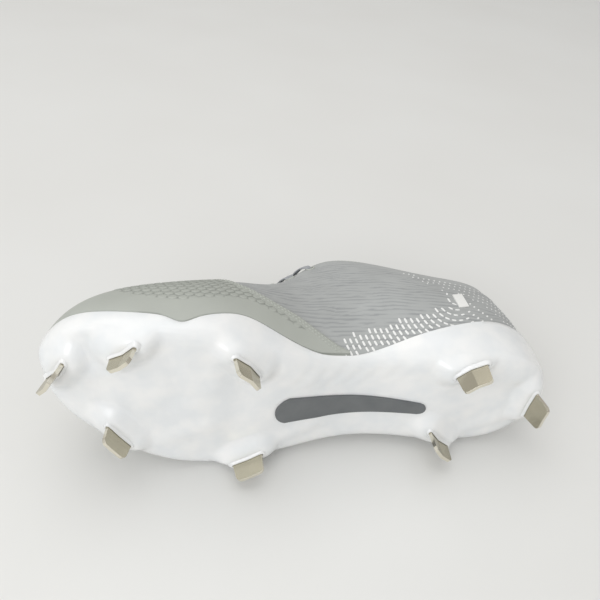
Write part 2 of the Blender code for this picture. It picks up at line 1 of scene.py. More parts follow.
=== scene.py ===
"""The looks of a right-foot baseball cleat that lies on its outer side, its sole edge on the floor.

Lengths are in millimetres in the shoe's own frame: X runs from the heel to the toe, +Y is the inner
side of the foot and +Z goes up through the ankle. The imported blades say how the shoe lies.
"""

import math
from collections import namedtuple

import bmesh
import bpy
import numpy as np
from mathutils import Matrix, Vector


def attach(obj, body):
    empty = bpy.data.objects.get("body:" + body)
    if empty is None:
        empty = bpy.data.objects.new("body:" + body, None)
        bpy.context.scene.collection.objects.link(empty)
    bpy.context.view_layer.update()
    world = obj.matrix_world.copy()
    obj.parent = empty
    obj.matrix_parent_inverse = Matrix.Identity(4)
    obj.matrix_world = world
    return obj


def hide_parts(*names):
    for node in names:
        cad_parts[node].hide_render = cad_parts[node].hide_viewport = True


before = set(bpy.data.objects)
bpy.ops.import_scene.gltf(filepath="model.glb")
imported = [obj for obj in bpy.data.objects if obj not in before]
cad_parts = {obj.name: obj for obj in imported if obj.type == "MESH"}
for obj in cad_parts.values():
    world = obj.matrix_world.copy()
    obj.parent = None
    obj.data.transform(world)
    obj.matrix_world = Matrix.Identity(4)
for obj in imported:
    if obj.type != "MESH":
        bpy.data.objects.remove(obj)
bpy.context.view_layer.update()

MILLIMETRE = 0.001
FULL_TURN = 2 * math.pi
SIDES = (1, -1)

# Driving sizes of the foot form, as in the solids. Only the blunt toe tip is the visual's own.
SHOE_LENGTH = 300.0
BALL_WIDTH = 103.0
INSTEP_HEIGHT = 66.0
COLLAR_HEIGHT = 86.0
TONGUE_TOP = 126.0
TOE_SPRING = 22.0
TOE_BLUNT = 6.2
TOE_BLUNT_AT = -3.0
TOE_BLUNT_HALF = 14.0
HEEL_RISE = 5.0
ARCH_RISE = 7.0

# Walls and clearances.
CLEARANCE = 0.3
PLATE_THICKNESS = 4.7
PLATE_WALL = 2.0
PLATE_LIP = 1.2
EDGE_ROUND = 9.0
UPPER_WALL = 2.2
COLLAR_PADDING = 3.5
OVERLAY_THICKNESS = 0.9
OVERLAY_CLEARANCE = 0.45
OVERLAY_DIVE = 0.2
INSOLE_THICKNESS = 4.0
TONGUE_THICKNESS = 3.5
TONGUE_FIRST = 27.0
TONGUE_LAST = 94.0
TONGUE_DIP = 1.6
INLAY_THICKNESS = 0.8

# Handles of the curve that rounds the sole's edge: the flat one ends this share of EDGE_ROUND before
# the outline, and the steep one follows the side wall down for this share of the height.
FLAT_HANDLE = 0.45
STEEP_HANDLE = 0.55

# Steel blades and the bosses that hold them.
BLADE_HEIGHT = 13.0
BLADE_WIDTH = 19.0
BLADE_THICKNESS = 2.0
BLADE_BEND = 16.0
BLADE_CORNER = 3.2
BLADE_TAPER = 0.8
BLADE_ROOT = 1.0
BLADE_EDGE = 0.32
BOSS_HEIGHT = 5.0
BOSS_TOP = 3.0
BOSS_SPREAD = 11.0

# Grey inlay under the waist.
INLAY_LENGTH = 92.0
INLAY_FRONT_WIDTH = 20.0
INLAY_BACK_WIDTH = 8.0
INLAY_MIDDLE = 0.415
INLAY_ASIDE = -0.065
INLAY_EDGE = 0.4

# Lacing. The rows of eyelets and the tongue's ends are angles around the outline.
LACE_WIDTH = 4.4
LACE_THICKNESS = 1.3
LACE_LIFT = 0.15
LACE_DIVE = 3.0
LACE_DIVE_SHARE = 0.07
EYELET_ROWS = 6
EYELET_FROM_EDGE = 7.0
EYELET_RADIUS = 2.6
EYELET_BEAD = 0.55
EYELET_BEAD_LIFT = 0.15
EYELET_HOLE_LIFT = 0.05
THROAT_HALF = 18.0
COLUMN_LENGTH = 80.0
LACE_FIRST = 56.0
LACE_LAST = 95.0
LACE_CLEARANCE = 0.7

# Small notch in the rim of the sole's side wall at the inner ball.
NOTCH_AT = 0.754
NOTCH_DEPTH = 3.5
NOTCH_HALF = 7.0

# Relief: the waist's ribs, the ripples of the quarter and the scales of the toe guard.
RIB_STEP = 11.0
RIB_DEPTH = 0.12
RIPPLE_STEP = 3.0
RIPPLE_DEPTH = 0.16
SCALE_WIDTH = 5.0
SCALE_TALL = 0.78
SCALE_DEPTH = 0.5
SCALE_GROOVE = 0.15

# White dashes and dots printed on the quarter and the back, and the label. The dashes begin at the
# angle DASH_FIRST and keep clear of the rim by a share of the column, seen side and hidden side. A
# dash that no spot of the upper meets within DASH_MISS pixels is left out.
DASH_HEIGHT = 0.25
DASH_FIRST = 95.5
DASH_OFF_SEEN_RIM = 0.012
DASH_OFF_RIM = 0.03
DASH_TOP = 0.97
DASH_MISS = 0.6
DOT_SIZE = 1.1
DOT_STEP = 3.7
DOT_ROWS = 30
TURNED_AWAY = 0.3
LABEL_SIZE = (6.0, 11.0)
LABEL_HEIGHT = 0.55
LABEL_ROOT = 0.3
LABEL_FACETS = 14

# Stitches along the toe guard and the throat.
STITCH_LENGTH = 1.5
STITCH_WIDTH = 0.62
STITCH_STEP = 2.3
GUARD_STITCHES = (-1.8, -3.8)
THROAT_STITCHES = 2.6

# Facets of the fine meshes, and how far the columns crowd together along the waist.
WAIST_CROWDING = 0.175
UPPER_COLUMNS = 480
UPPER_ROWS = 132
PLATE_COLUMNS = 480
PLATE_ROWS = 62
GUARD_COLUMNS = 640
GUARD_ROWS = 148

# The photograph's camera in the shoe's frame: its place, a point that it looks at, the direction of
# the picture's lower edge, and the lens for a sensor 36 mm wide.
CAMERA_PLACE = (253.1, 251.2, -233.7)
CAMERA_AIM = (146.98, 17.12, 72.82)
CAMERA_DOWN = (-0.0385, -0.7877, -0.6149)
CAMERA_LENS = 38.0
CAMERA_SENSOR = 36.0

# Sizes in the photograph, in pixels of a picture 600 wide: the dashes lie on rings around one point,
# in a band that starts BAND_BELOW it, sinks to the left by BAND_SINK and opens upwards by BAND_OPEN.
PICTURE = 600.0
MILLIMETRE_THERE = 1.7
RING_MIDDLE = (457.6, 294.0)
RING_STEP = 5.3
RING_COUNT = 28
RING_PITCH = 6.9
BAND_BELOW = 12.0
BAND_SINK = 0.31
BAND_OPEN = 2.1

# The scales of the toe guard end at this line, and the label has these corners, in the same pixels.
SCALE_LINE = ((100.0, 292.0), (125.0, 296.0), (160.0, 301.0), (180.0, 302.5), (207.0, 300.0),
              (234.0, 300.0), (251.0, 303.0), (262.0, 309.0), (278.0, 317.0), (300.0, 332.0))
LABEL_CORNERS = ((459.5, 307.8), (468.8, 306.8), (452.2, 295.3), (461.4, 294.5))

# One row for each direction from the middle of the rings, in degrees with 0 to the right and 90 up:
# how long and how wide a dash is there, in millimetres.
DASHES = (
    (0.0, 1.3, 1.0),
    (90.0, 1.0, 0.85),
    (165.0, 1.1, 0.9),
    (195.0, 3.3, 1.35),
    (225.0, 3.2, 1.35),
    (270.0, 2.6, 1.15),
    (315.0, 1.8, 1.1),
    (360.0, 1.3, 1.0),
)

# One row for each cross section, from the toe tip to the back of the heel. "at" is a share of
# SHOE_LENGTH. inner and outer are the half widths of the sole, and swell_in and swell_out how far
# each side swells, as shares of BALL_WIDTH. top_at is where that section's column ends, a share of
# SHOE_LENGTH, top_half its half width and turn_out the reach of its last curve, shares of
# BALL_WIDTH. The height of the top edge is low_top shares of INSTEP_HEIGHT and high_top shares of
# COLLAR_HEIGHT together. rise and turn_up are shares of COLLAR_HEIGHT, and so are rim_in and
# rim_out, the height of the sole's side wall. pad is the share of COLLAR_PADDING.
COLUMNS = (
    "at", "inner", "outer", "top_at", "top_half", "low_top", "high_top",
    "swell_in", "swell_out", "rise", "turn_out", "turn_up", "rim_in", "rim_out", "pad",
)
SECTIONS = (
    (1.00, 0.070, -0.070, 0.705, 0.000, 0.97, 0.00, 0.01, 0.01, 0.25, 0.46, -0.02, 0.08, 0.08, 0.0),
    (0.98, 0.196, 0.049, 0.704, 0.030, 0.97, 0.00, 0.04, 0.02, 0.27, 0.46, -0.02, 0.08, 0.08, 0.0),
    (0.94, 0.336, 0.196, 0.701, 0.060, 0.98, 0.00, 0.08, 0.04, 0.29, 0.43, -0.02, 0.09, 0.09, 0.0),
    (0.88, 0.426, 0.320, 0.692, 0.097, 0.99, 0.00, 0.10, 0.05, 0.31, 0.37, -0.02, 0.09, 0.10, 0.0),
    (0.80, 0.474, 0.429, 0.670, 0.130, 1.03, 0.00, 0.11, 0.06, 0.33, 0.30, -0.02, 0.08, 0.11, 0.0),
    (0.72, 0.483, 0.491, 0.632, 0.158, 1.08, 0.00, 0.12, 0.07, 0.34, 0.25, -0.03, 0.09, 0.12, 0.0),
    (0.66, 0.457, 0.500, 0.598, 0.172, 1.13, 0.00, 0.13, 0.08, 0.34, 0.21, -0.05, 0.13, 0.12, 0.0),
    (0.60, 0.392, 0.469, 0.560, 0.184, 1.20, 0.00, 0.14, 0.09, 0.35, 0.17, -0.09, 0.10, 0.12, 0.0),
    (0.50, 0.295, 0.420, 0.490, 0.205, 1.42, 0.00, 0.16, 0.10, 0.35, 0.13, -0.16, 0.01, 0.11, 0.0),
    (0.40, 0.271, 0.377, 0.415, 0.245, 1.08, 0.40, 0.17, 0.10, 0.34, 0.11, -0.22, 0.02, 0.12, 0.2),
    (0.30, 0.319, 0.352, 0.325, 0.295, 0.48, 0.78, 0.16, 0.08, 0.33, 0.10, -0.24, 0.12, 0.16, 0.9),
    (0.20, 0.360, 0.350, 0.220, 0.310, 0.05, 0.98, 0.13, 0.07, 0.31, 0.09, -0.24, 0.22, 0.21, 1.0),
    (0.12, 0.348, 0.336, 0.120, 0.280, 0.02, 0.98, 0.10, 0.06, 0.30, 0.07, -0.26, 0.27, 0.25, 1.0),
    (0.06, 0.282, 0.282, 0.055, 0.210, 0.00, 1.02, 0.07, 0.05, 0.30, 0.06, -0.30, 0.26, 0.25, 1.0),
    (0.02, 0.180, 0.194, 0.022, 0.115, 0.00, 1.06, 0.04, 0.04, 0.31, 0.05, -0.33, 0.21, 0.22, 1.0),
    (0.00, -0.010, 0.010, 0.012, 0.000, 0.00, 1.08, 0.02, 0.02, 0.32, 0.04, -0.34, 0.17, 0.17, 1.0),
)

# One row for each blade: its name, its place as shares of SHOE_LENGTH and BALL_WIDTH, its turn in
# degrees from the shoe's length towards the inner side, its width and height as shares of
# BLADE_WIDTH and BLADE_HEIGHT, and how far it is bent, as a share of BLADE_BEND.
BLADES = (
    ("spike_toe", 0.950, 0.128, -61.0, 0.88, 1.0, 1.0),
    ("spike_inner_front", 0.843, 0.345, -44.0, 0.84, 0.75, 1.0),
    ("spike_inner_ball", 0.642, 0.318, 43.0, 1.0, 0.85, -1.0),
    ("spike_outer_front", 0.846, -0.235, 46.0, 0.95, 0.80, 0.2),
    ("spike_outer_ball", 0.606, -0.395, -31.0, 0.96, 0.90, 0.4),
    ("spike_heel_inner", 0.217, 0.304, -40.0, 1.0, 1.0, -1.0),
    ("spike_heel_outer", 0.220, -0.262, 39.0, 1.0, 1.0, 1.0),
    ("spike_heel_back", 0.044, 0.020, 90.0, 1.0, 1.0, 0.4),
)
Boss = namedtuple("Boss", "name centre turn top slope wide high bend")

# Section of the lip around a blade: its reach from the blade's face and its height out of the boss,
# in millimetres, from the blade outwards.
LIP = ((0.02, -0.6), (0.05, 0.8), (0.3, 1.15), (0.7, 1.1), (1.15, 0.7), (1.5, 0.2), (2.3, -0.6))

# The toe guard's top edge, as a share of the way up the upper's column. The first number is the angle
# around the outline in degrees: 0 at the toe tip, positive on the inner side, negative on the outer.
GUARD_EDGE = (
    (-76.0, 0.20), (-60.0, 0.36), (-30.0, 0.50), (0.0, 0.56), (30.0, 0.66), (50.0, 0.78),
    (57.0, 0.77), (62.0, 0.69), (66.0, 0.58), (71.0, 0.45), (76.0, 0.37), (81.0, 0.30),
    (85.0, 0.24), (91.0, 0.125), (94.5, 0.062), (97.0, 0.03),
)

# Soft ridges and troughs moulded in the sole's underside: both ends as shares of SHOE_LENGTH and
# BALL_WIDTH, then half width and height in millimetres. A trough's height is below zero.
WEBS = (
    (0.905, 0.330, 0.880, -0.060, 5.0, -1.3),
    (0.900, 0.120, 0.850, 0.200, 6.0, 0.9),
    (0.780, 0.390, 0.745, 0.060, 7.0, -1.0),
    (0.700, 0.410, 0.690, 0.120, 6.0, 0.8),
    (0.780, -0.080, 0.700, -0.380, 7.0, -0.9),
    (0.800, -0.330, 0.690, -0.160, 6.0, 0.8),
    (0.640, 0.120, 0.640, -0.260, 9.0, -0.8),
    (0.570, 0.230, 0.510, 0.140, 6.0, 0.8),
    (0.550, -0.300, 0.480, -0.200, 6.0, 0.9),
    (0.300, 0.230, 0.240, 0.120, 6.0, 0.8),
    (0.190, 0.120, 0.100, 0.080, 8.0, -1.2),
    (0.160, 0.260, 0.080, 0.170, 5.0, 0.8),
    (0.160, -0.220, 0.090, -0.120, 5.0, 0.8),
)

# Creases of the upper: angle around the outline and share up the column of the middle, the turn
# from the shoe's length in degrees, then length, half width and depth in millimetres. The first is
# the one on the toe guard.
CREASES = (
    (52.0, 0.30, 8.0, 34.0, 2.2, -0.35),
    (-66.0, 0.62, 80.0, 46.0, 4.5, -0.8),
    (-73.0, 0.60, 76.0, 40.0, 4.0, 0.5),
    (-80.0, 0.55, 72.0, 44.0, 5.0, -0.7),
    (66.0, 0.86, 70.0, 26.0, 4.0, -0.6),
    (128.0, 0.86, 24.0, 42.0, 5.0, -0.7),
    (-126.0, 0.82, 20.0, 46.0, 5.5, -0.8),
    (150.0, 0.80, 14.0, 36.0, 4.5, 0.4),
)


# The shoe's form.

class LoopCurve:
    """A smooth closed curve of one value around the outline, read at any angle in radians."""

    def __init__(self, angles, values):
        order = np.argsort(angles)
        count = len(order)
        self.angles = angles[order]
        self.values = values[order]
        self.steps = np.diff(np.append(self.angles, self.angles[0] + FULL_TURN))
        system = np.zeros((count, count))
        for here in range(count):
            before = (here - 1) % count
            system[here, before] += self.steps[before]
            system[here, here] += 2 * (self.steps[before] + self.steps[here])
            system[here, (here + 1) % count] += self.steps[here]
        slopes = (np.roll(self.values, -1) - self.values) / self.steps
        self.bends = np.linalg.solve(system, 6 * (slopes - np.roll(slopes, 1)))

    def __call__(self, angle):
        turned = (np.asarray(angle, float) - self.angles[0]) % FULL_TURN + self.angles[0]
        last = len(self.angles) - 1
        here = np.clip(np.searchsorted(self.angles, turned, side="right") - 1, 0, last)
        step = self.steps[here]
        reach = turned - self.angles[here]
        total = 0.0
        for end, part in ((here, step - reach), ((here + 1) % (last + 1), reach)):
            total = total + self.bends[end] * part**3 / (6 * step)
            total = total + (self.values[end] / step - self.bends[end] * step / 6) * part
        return total


def around(inner, outer, size, outer_sign=1):
    """The closed curve of one column on the inner side and one on the outer side, times a size."""
    at, inner, outer = (
        np.array([row[COLUMNS.index(name)] for row in SECTIONS]) for name in ("at", inner, outer))
    angles = np.arccos(np.clip(2 * at - 1, -1, 1))
    values = np.concatenate([inner, outer_sign * outer[1:-1]]) * size
    return LoopCurve(np.concatenate([angles, -angles[1:-1]]), values)


OUTLINE_Y = around("inner", "outer", BALL_WIDTH, -1)
TOP_AT = around("top_at", "top_at", SHOE_LENGTH)
TOP_Y = around("top_half", "top_half", BALL_WIDTH, -1)
LOW_TOP = around("low_top", "low_top", INSTEP_HEIGHT)
HIGH_TOP = around("high_top", "high_top", COLLAR_HEIGHT)
SWELL = around("swell_in", "swell_out", BALL_WIDTH)
RISE = around("rise", "rise", COLLAR_HEIGHT)
TURN_OUT = around("turn_out", "turn_out", BALL_WIDTH)
TURN_UP = around("turn_up", "turn_up", COLLAR_HEIGHT)
RIM = around("rim_in", "rim_out", COLLAR_HEIGHT)
PADDING = around("pad", "pad", COLLAR_PADDING)


def ease(value):
    """0 below 0, 1 above 1, with a soft start and end."""
    value = np.clip(value, 0, 1)
    return value * value * (3 - 2 * value)


def unit(vectors):
    """The same vectors, each of length 1."""
    return vectors / np.linalg.norm(vectors, axis=-1, keepdims=True)


def cubic(part, first, second, third, last):
    """A point of the curve that has these four handles."""
    rest = 1 - part
    return (rest**3 * first + 3 * rest**2 * part * second + 3 * rest * part**2 * third
            + part**3 * last)


def run_lengths(points):
    """Length along rows of points, from the first row to each."""
    steps = np.linalg.norm(np.diff(points, axis=0), axis=-1)
    return np.concatenate([np.zeros((1, *steps.shape[1:])), np.cumsum(steps, axis=0)])


def ground(x):
    """Height of the sole's underside along the shoe: toe spring, arch and heel rise."""
    share = np.asarray(x, float) / SHOE_LENGTH
    toe = TOE_SPRING * (np.clip(share - 0.72, 0, None) / 0.28) ** 1.8
    heel = HEEL_RISE * (np.clip(0.10 - share, 0, None) / 0.10) ** 1.6
    arch = ARCH_RISE * np.sin(math.pi * np.clip((share - 0.18) / 0.44, 0, 1)) ** 2
    return toe + heel + arch


def outline(angle):
    """Plan point of the sole's outline, its toe tip pressed blunt."""
    off = (np.degrees(angle) - TOE_BLUNT_AT) / TOE_BLUNT_HALF
    x = SHOE_LENGTH / 2 * (1 + np.cos(angle)) - TOE_BLUNT * np.exp(-(off**2))
    return np.stack([x, OUTLINE_Y(angle)], axis=-1)


def outward(angle, small=1e-3):
    """Unit vector in plan, square to the outline, pointing away from the foot."""
    along = outline(angle + small) - outline(angle - small)
    return unit(np.stack([along[..., 1], -along[..., 0]], axis=-1))


def spread_angles(count):
    """Angles around the outline, closer together along the waist than the cosine alone gives."""
    even = -math.pi + FULL_TURN * np.arange(count) / count
    return even + WAIST_CROWDING * np.sin(2 * even)


def upper_point(angle, share):
    """A point of the upper's outer surface: share 0 at the sole, 1 at the collar or throat edge."""
    angle, share = np.broadcast_arrays(np.asarray(angle, float), np.asarray(share, float))
    out = outward(angle)
    foot_plan = outline(angle) - out * (PLATE_WALL + CLEARANCE)
    foot_z = ground(foot_plan[..., 0]) + PLATE_THICKNESS + CLEARANCE
    foot = np.concatenate([foot_plan, foot_z[..., None]], axis=-1)
    top = np.stack([TOP_AT(angle), TOP_Y(angle), LOW_TOP(angle) + HIGH_TOP(angle)], axis=-1)
    reach = unit(foot_plan - top[..., :2] + out * BALL_WIDTH / 4)
    swell = np.concatenate([out * SWELL(angle)[..., None], RISE(angle)[..., None]], axis=-1)
    turn = np.concatenate([reach * TURN_OUT(angle)[..., None], TURN_UP(angle)[..., None]], axis=-1)
    return cubic(share[..., None], foot, foot + swell, top + turn, top)


def upper_normal(angle, share, small=1e-3):
    """Outward unit normal of the upper's outer surface."""
    angle, share = np.broadcast_arrays(np.asarray(angle, float), np.asarray(share, float))
    low = np.clip(share - small, 0, 1)
    high = np.clip(share + small, 0, 1)
    round_it = upper_point(angle + small, share) - upper_point(angle - small, share)
    return unit(np.cross(round_it, upper_point(angle, high) - upper_point(angle, low)))


def offset_upper(angle, share, distance):
    """A point at a distance outside the upper's outer surface."""
    distance = np.asarray(distance, float)[..., None]
    return upper_point(angle, share) + upper_normal(angle, share) * distance


def on_upper(angle, share, turn, small=0.01):
    """Middle, direction and normal of a mark on the upper, turned from the shoe's length in degrees."""
    normal = upper_normal(angle, share)
    round_it = unit(upper_point(angle + small, share) - upper_point(angle - small, share))
    up_it = np.cross(normal, round_it)
    way = math.cos(math.radians(turn)) * round_it + math.sin(math.radians(turn)) * up_it
    return upper_point(angle, share), way, normal


def side_lengths(angles):
    """Length along the side of the shoe, at mid height, from the first angle to each."""
    return run_lengths(upper_point(angles, 0.35))


def column_lengths(angles, shares):
    """Length up the upper's column at each angle (columns) from the sole to each share (rows)."""
    return run_lengths(upper_point(angles[None, :], shares[:, None]))


def rim_share(angle):
    """How far up the upper's column the sole's side wall reaches."""
    angle = np.asarray(angle, float)
    trial = np.linspace(0, 0.5, 41)
    heights = upper_point(angle[..., None], trial)[..., 2]
    away = (outline(angle)[..., 0] - NOTCH_AT * SHOE_LENGTH) / NOTCH_HALF
    notch = np.where(angle > 0, NOTCH_DEPTH * np.exp(-(away**2)), 0.0)
    wanted = np.ravel(RIM(angle) - notch + heights[..., 0])
    found = [np.interp(w, h, trial) for w, h in zip(wanted, heights.reshape(-1, len(trial)))]
    return np.reshape(found, angle.shape)


def boss_of(name, along, across, turn, wide, high, bend):
    """The boss under one blade: its centre, turn in radians, top height and slope, and its blade."""
    centre = np.array([along * SHOE_LENGTH, across * BALL_WIDTH])
    slope = float(ground(centre[0] + 1) - ground(centre[0] - 1)) / 2
    top = float(ground(centre[0])) - BOSS_HEIGHT
    turn = math.radians(turn)
    return Boss(name, centre, turn, top, slope, wide * BLADE_WIDTH, high * BLADE_HEIGHT, bend)


BOSSES = [boss_of(*row) for row in BLADES]


def underside(plan):
    """Height of the sole's underside at plan points, with its bosses, without the round edge."""
    height = ground(plan[..., 0])
    for boss in BOSSES:
        away = plan - boss.centre
        along = away[..., 0] * math.cos(boss.turn) + away[..., 1] * math.sin(boss.turn)
        across = away[..., 1] * math.cos(boss.turn) - away[..., 0] * math.sin(boss.turn)
        reach = boss.wide / 2 - BOSS_TOP / 2
        beyond = np.hypot(along - np.clip(along, -reach, reach), across)
        share = 1 - ease((beyond - BOSS_TOP) / BOSS_SPREAD)
        height = height * (1 - share) + (boss.top + boss.slope * away[..., 0]) * share
    return height


def middle_y(angle):
    """How far the sole's middle line lies towards the inner side."""
    return (OUTLINE_Y(angle) + OUTLINE_Y(-np.asarray(angle))) / 2


def relieved(plan):
    """The underside with its fine forms: webs, troughs and ribs of the waist."""
    height = underside(plan)
    for x_one, y_one, x_two, y_two, wide, high in WEBS:
        start = np.array([x_one * SHOE_LENGTH, y_one * BALL_WIDTH])
        way = np.array([x_two * SHOE_LENGTH, y_two * BALL_WIDTH]) - start
        part = np.clip((plan - start) @ way / (way @ way), 0, 1)
        away = np.linalg.norm(plan - start - part[..., None] * way, axis=-1)
        height = height - high * np.exp(-((away / wide) ** 2))
    share = plan[..., 0] / SHOE_LENGTH
    off = np.abs(plan[..., 1] - middle_y(np.arccos(np.clip(share * 2 - 1, -1, 1))))
    waist = ease((share - 0.26) / 0.06) * ease((0.58 - share) / 0.06)
    beside = ease((off / BALL_WIDTH - 0.13) / 0.05) * ease((0.33 - off / BALL_WIDTH) / 0.05)
    ribs = np.sin(FULL_TURN * (plan[..., 0] + 0.6 * off) / RIB_STEP)
    return height - RIB_DEPTH * waist * beside * ribs


def centre_line(angle):
    """Plan point of the sole's middle line that belongs to an outline angle."""
    x = SHOE_LENGTH / 2 + (SHOE_LENGTH / 2 - 2 * EDGE_ROUND) * np.cos(angle)
    return np.stack([x, middle_y(angle)], axis=-1)


# The photograph.

def camera_axes():
    """Right, down and forward directions of the photograph's camera in the shoe's frame."""
    forward = unit(np.array(CAMERA_AIM) - np.array(CAMERA_PLACE))
    right = unit(np.cross(CAMERA_DOWN, forward))
    return right, np.cross(forward, right), forward


def in_picture(points):
    """Where the photograph shows points of the shoe's frame, in pixels."""
    right, down, forward = camera_axes()
    away = np.asarray(points, float) - np.array(CAMERA_PLACE)
    focus = CAMERA_LENS / CAMERA_SENSOR * PICTURE / (away @ forward)
    return PICTURE / 2 + np.stack([focus * (away @ right), focus * (away @ down)], axis=-1)


def facing(angle, share):
    """How squarely the upper faces the photograph's camera: 1 square on, below 0 turned away."""
    away = np.array(CAMERA_PLACE) - upper_point(angle, share)
    return np.sum(unit(away) * upper_normal(angle, share), axis=-1)


def find_on_upper(pixels, small=1e-3, limit=0.02):
    """Angle and share of the upper's points that the photograph shows at the given pixels.

    The nearest point of a grid is followed by four steps of at most the limit.
    """
    angles, shares = np.meshgrid(
        np.radians(np.linspace(60, 176, 240)), np.linspace(0, 1, 90), indexing="ij")
    seen = facing(angles, shares) > 0
    grid = in_picture(upper_point(angles[seen], shares[seen]))
    nearest = np.array([np.argmin(np.sum((grid - pixel) ** 2, axis=-1)) for pixel in pixels])
    angle = angles[seen][nearest]
    share = shares[seen][nearest]
    for _ in range(4):
        here = in_picture(upper_point(angle, share))
        by_angle = (in_picture(upper_point(angle + small, share)) - here) / small
        by_share = (in_picture(upper_point(angle, share + small)) - here) / small
        slope = np.stack([by_angle, by_share], axis=-1) + 1e-9 * np.eye(2)
        step = np.linalg.solve(slope, (pixels - here)[..., None])[..., 0]
        step = np.clip(step, -limit, limit)
        angle = angle + step[:, 0]
        share = np.clip(share + step[:, 1], 0, 1)
    miss = np.linalg.norm(in_picture(upper_point(angle, share)) - pixels, axis=-1)
    return angle, share, miss


# Meshes.

def grid_faces(rows, columns, closed_rows=False, closed_columns=True):
    """Faces of a grid whose points run along its columns first."""
    row = np.arange(rows if closed_rows else rows - 1)[:, None] * columns
    place = np.arange(columns if closed_columns else columns - 1)[None, :]
    right = (place + 1) % columns
    below = (row + columns) % (rows * columns)
    corners = (row + place, row + right, below + right, below + place)
    return np.stack(np.broadcast_arrays(*corners), axis=-1).reshape(-1, 4)


def repeated(faces, size, count):
    """The faces of one shape for each of count shapes that have size points."""
    return [[number * size + corner for corner in face] for number in range(count) for face in faces]


def slab(front, back):
    """Points and faces of a solid between two grids (rows, columns, 3) that cover the same patch."""
    rows, columns = front.shape[:2]
    count = rows * columns
    faces = grid_faces(rows, columns, closed_columns=False)
    places = np.arange(count).reshape(rows, columns)
    edge = [*places[0], *places[1:, -1], *places[-1, -2::-1], *places[-2:0:-1, 0]]
    sides = [(here, after, count + after, count + here)
             for here, after in zip(edge, edge[1:] + edge[:1])]
    points = np.concatenate([front.reshape(-1, 3), back.reshape(-1, 3)])
    return points, np.concatenate([faces, (count + faces)[:, ::-1], sides]).tolist()


def capped_loft(rings):
    """Rings joined in order. The first and last lie on the middle line and are sewn shut there."""
    count = len(rings[0])
    inside = rings[1:-1]
    points = list(np.concatenate(inside))
    faces = grid_faces(len(inside), count).tolist()
    for ring, wall in ((rings[0], 0), (rings[-1], (len(inside) - 1) * count)):
        start = len(points)
        points += [ring[place] for place in range(count // 2 + 1)]
        for place in range(count):
            right = (place + 1) % count
            here = start + min(place, count - place)
            after = start + min(right, count - right)
            faces.append(list(dict.fromkeys((wall + place, wall + right, after, here))))
    return np.array(points), faces


def blade_axes(boss):
    """Directions along and across a blade and down out of the sole, and the middle of its seat."""
    down = np.array([boss.slope, 0.0, -1.0]) / math.hypot(boss.slope, 1)
    turn = np.array([math.cos(boss.turn), math.sin(boss.turn)])
    along_way = unit(np.array([*turn, boss.slope * turn[0]]))
    return along_way, np.cross(along_way, down), down, np.array([*boss.centre, boss.top])


def blade_lean(boss):
    """How far each half of a blade leans across per millimetre along."""
    return math.tan(math.radians(BLADE_BEND / 2)) * boss.bend


def blade_grids(boss, spots, root):
    """Front and back of a steel blade bent along its middle, its lower corners rounded."""
    half = boss.wide / 2
    straight = half - BLADE_CORNER
    along_way, across_way, down, seat = blade_axes(boss)
    face = BLADE_THICKNESS / 2 / math.cos(math.radians(BLADE_BEND / 2))
    grids = []
    for out in (-face, face):
        for low in (0.0, 1.0):
            for spot in spots:
                past = min(1.0, max(0.0, abs(spot) * half - straight) / BLADE_CORNER)
                cut = BLADE_CORNER * (1 - math.sqrt(1 - past * past))
                along = spot * (half - low * BLADE_TAPER)
                across = (abs(along) - half / 2) * blade_lean(boss) + out
                depth = root + low * (boss.high - cut + CLEARANCE - root)
                grids.append(seat + along_way * along + across_way * across + down * depth)
    return np.array(grids).reshape(2, 2, -1, 3)


def mesh_middle(mesh):
    """Middle of a mesh's surface, weighted by area."""
    points = np.array([vertex.co for vertex in mesh.vertices])
    mesh.calc_loop_triangles()
    corners = np.array([triangle.vertices for triangle in mesh.loop_triangles])
    first, second, third = (points[corners[:, k]] for k in range(3))
    areas = np.linalg.norm(np.cross(second - first, third - first), axis=1)
    return ((first + second + third) / 3 * areas[:, None]).sum(axis=0) / areas.sum()


def lie_of_shoe():
    """The turn and shift from the shoe's frame to the row frame that lay its blades on the packed."""
    own = []
    packed = []
    for boss in BOSSES:
        share = BLADE_CORNER / (boss.wide / 2)
        spots = (-1.0, share * 0.3 - 1, share - 1, 0.0, 1 - share, 1 - share * 0.3, 1.0)
        trial = bpy.data.meshes.new("trial")
        # The solids are all bent the same way.
        points, faces = slab(*blade_grids(boss._replace(bend=1.0), spots, CLEARANCE))
        trial.from_pydata(points.tolist(), [], faces)
        own.append(mesh_middle(trial))
        bpy.data.meshes.remove(trial)
        packed.append(mesh_middle(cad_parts[boss.name].data) / MILLIMETRE)
    own_middle = np.mean(own, axis=0)
    packed_middle = np.mean(packed, axis=0)
    left, _, right = np.linalg.svd((own - own_middle).T @ (packed - packed_middle))
    flip = np.diag([1.0, 1.0, np.sign(np.linalg.det(right.T @ left.T))])
    turn = right.T @ flip @ left.T
    return turn, packed_middle - turn @ own_middle


TURN, SHIFT = lie_of_shoe()


def lay_free(points):
    """Points of the shoe's frame in the row frame, in metres."""
    return (np.asarray(points, float) @ TURN.T + SHIFT) * MILLIMETRE


def lay(points):
    """The same, pressed flat where the shoe rests on the floor."""
    laid = lay_free(points)
    laid[..., 2] = np.maximum(laid[..., 2], 0.0)
    return laid


def add_object(name, data):
    """A new object in the scene."""
    made = bpy.data.objects.new(name, data)
    bpy.context.scene.collection.objects.link(made)
    return made


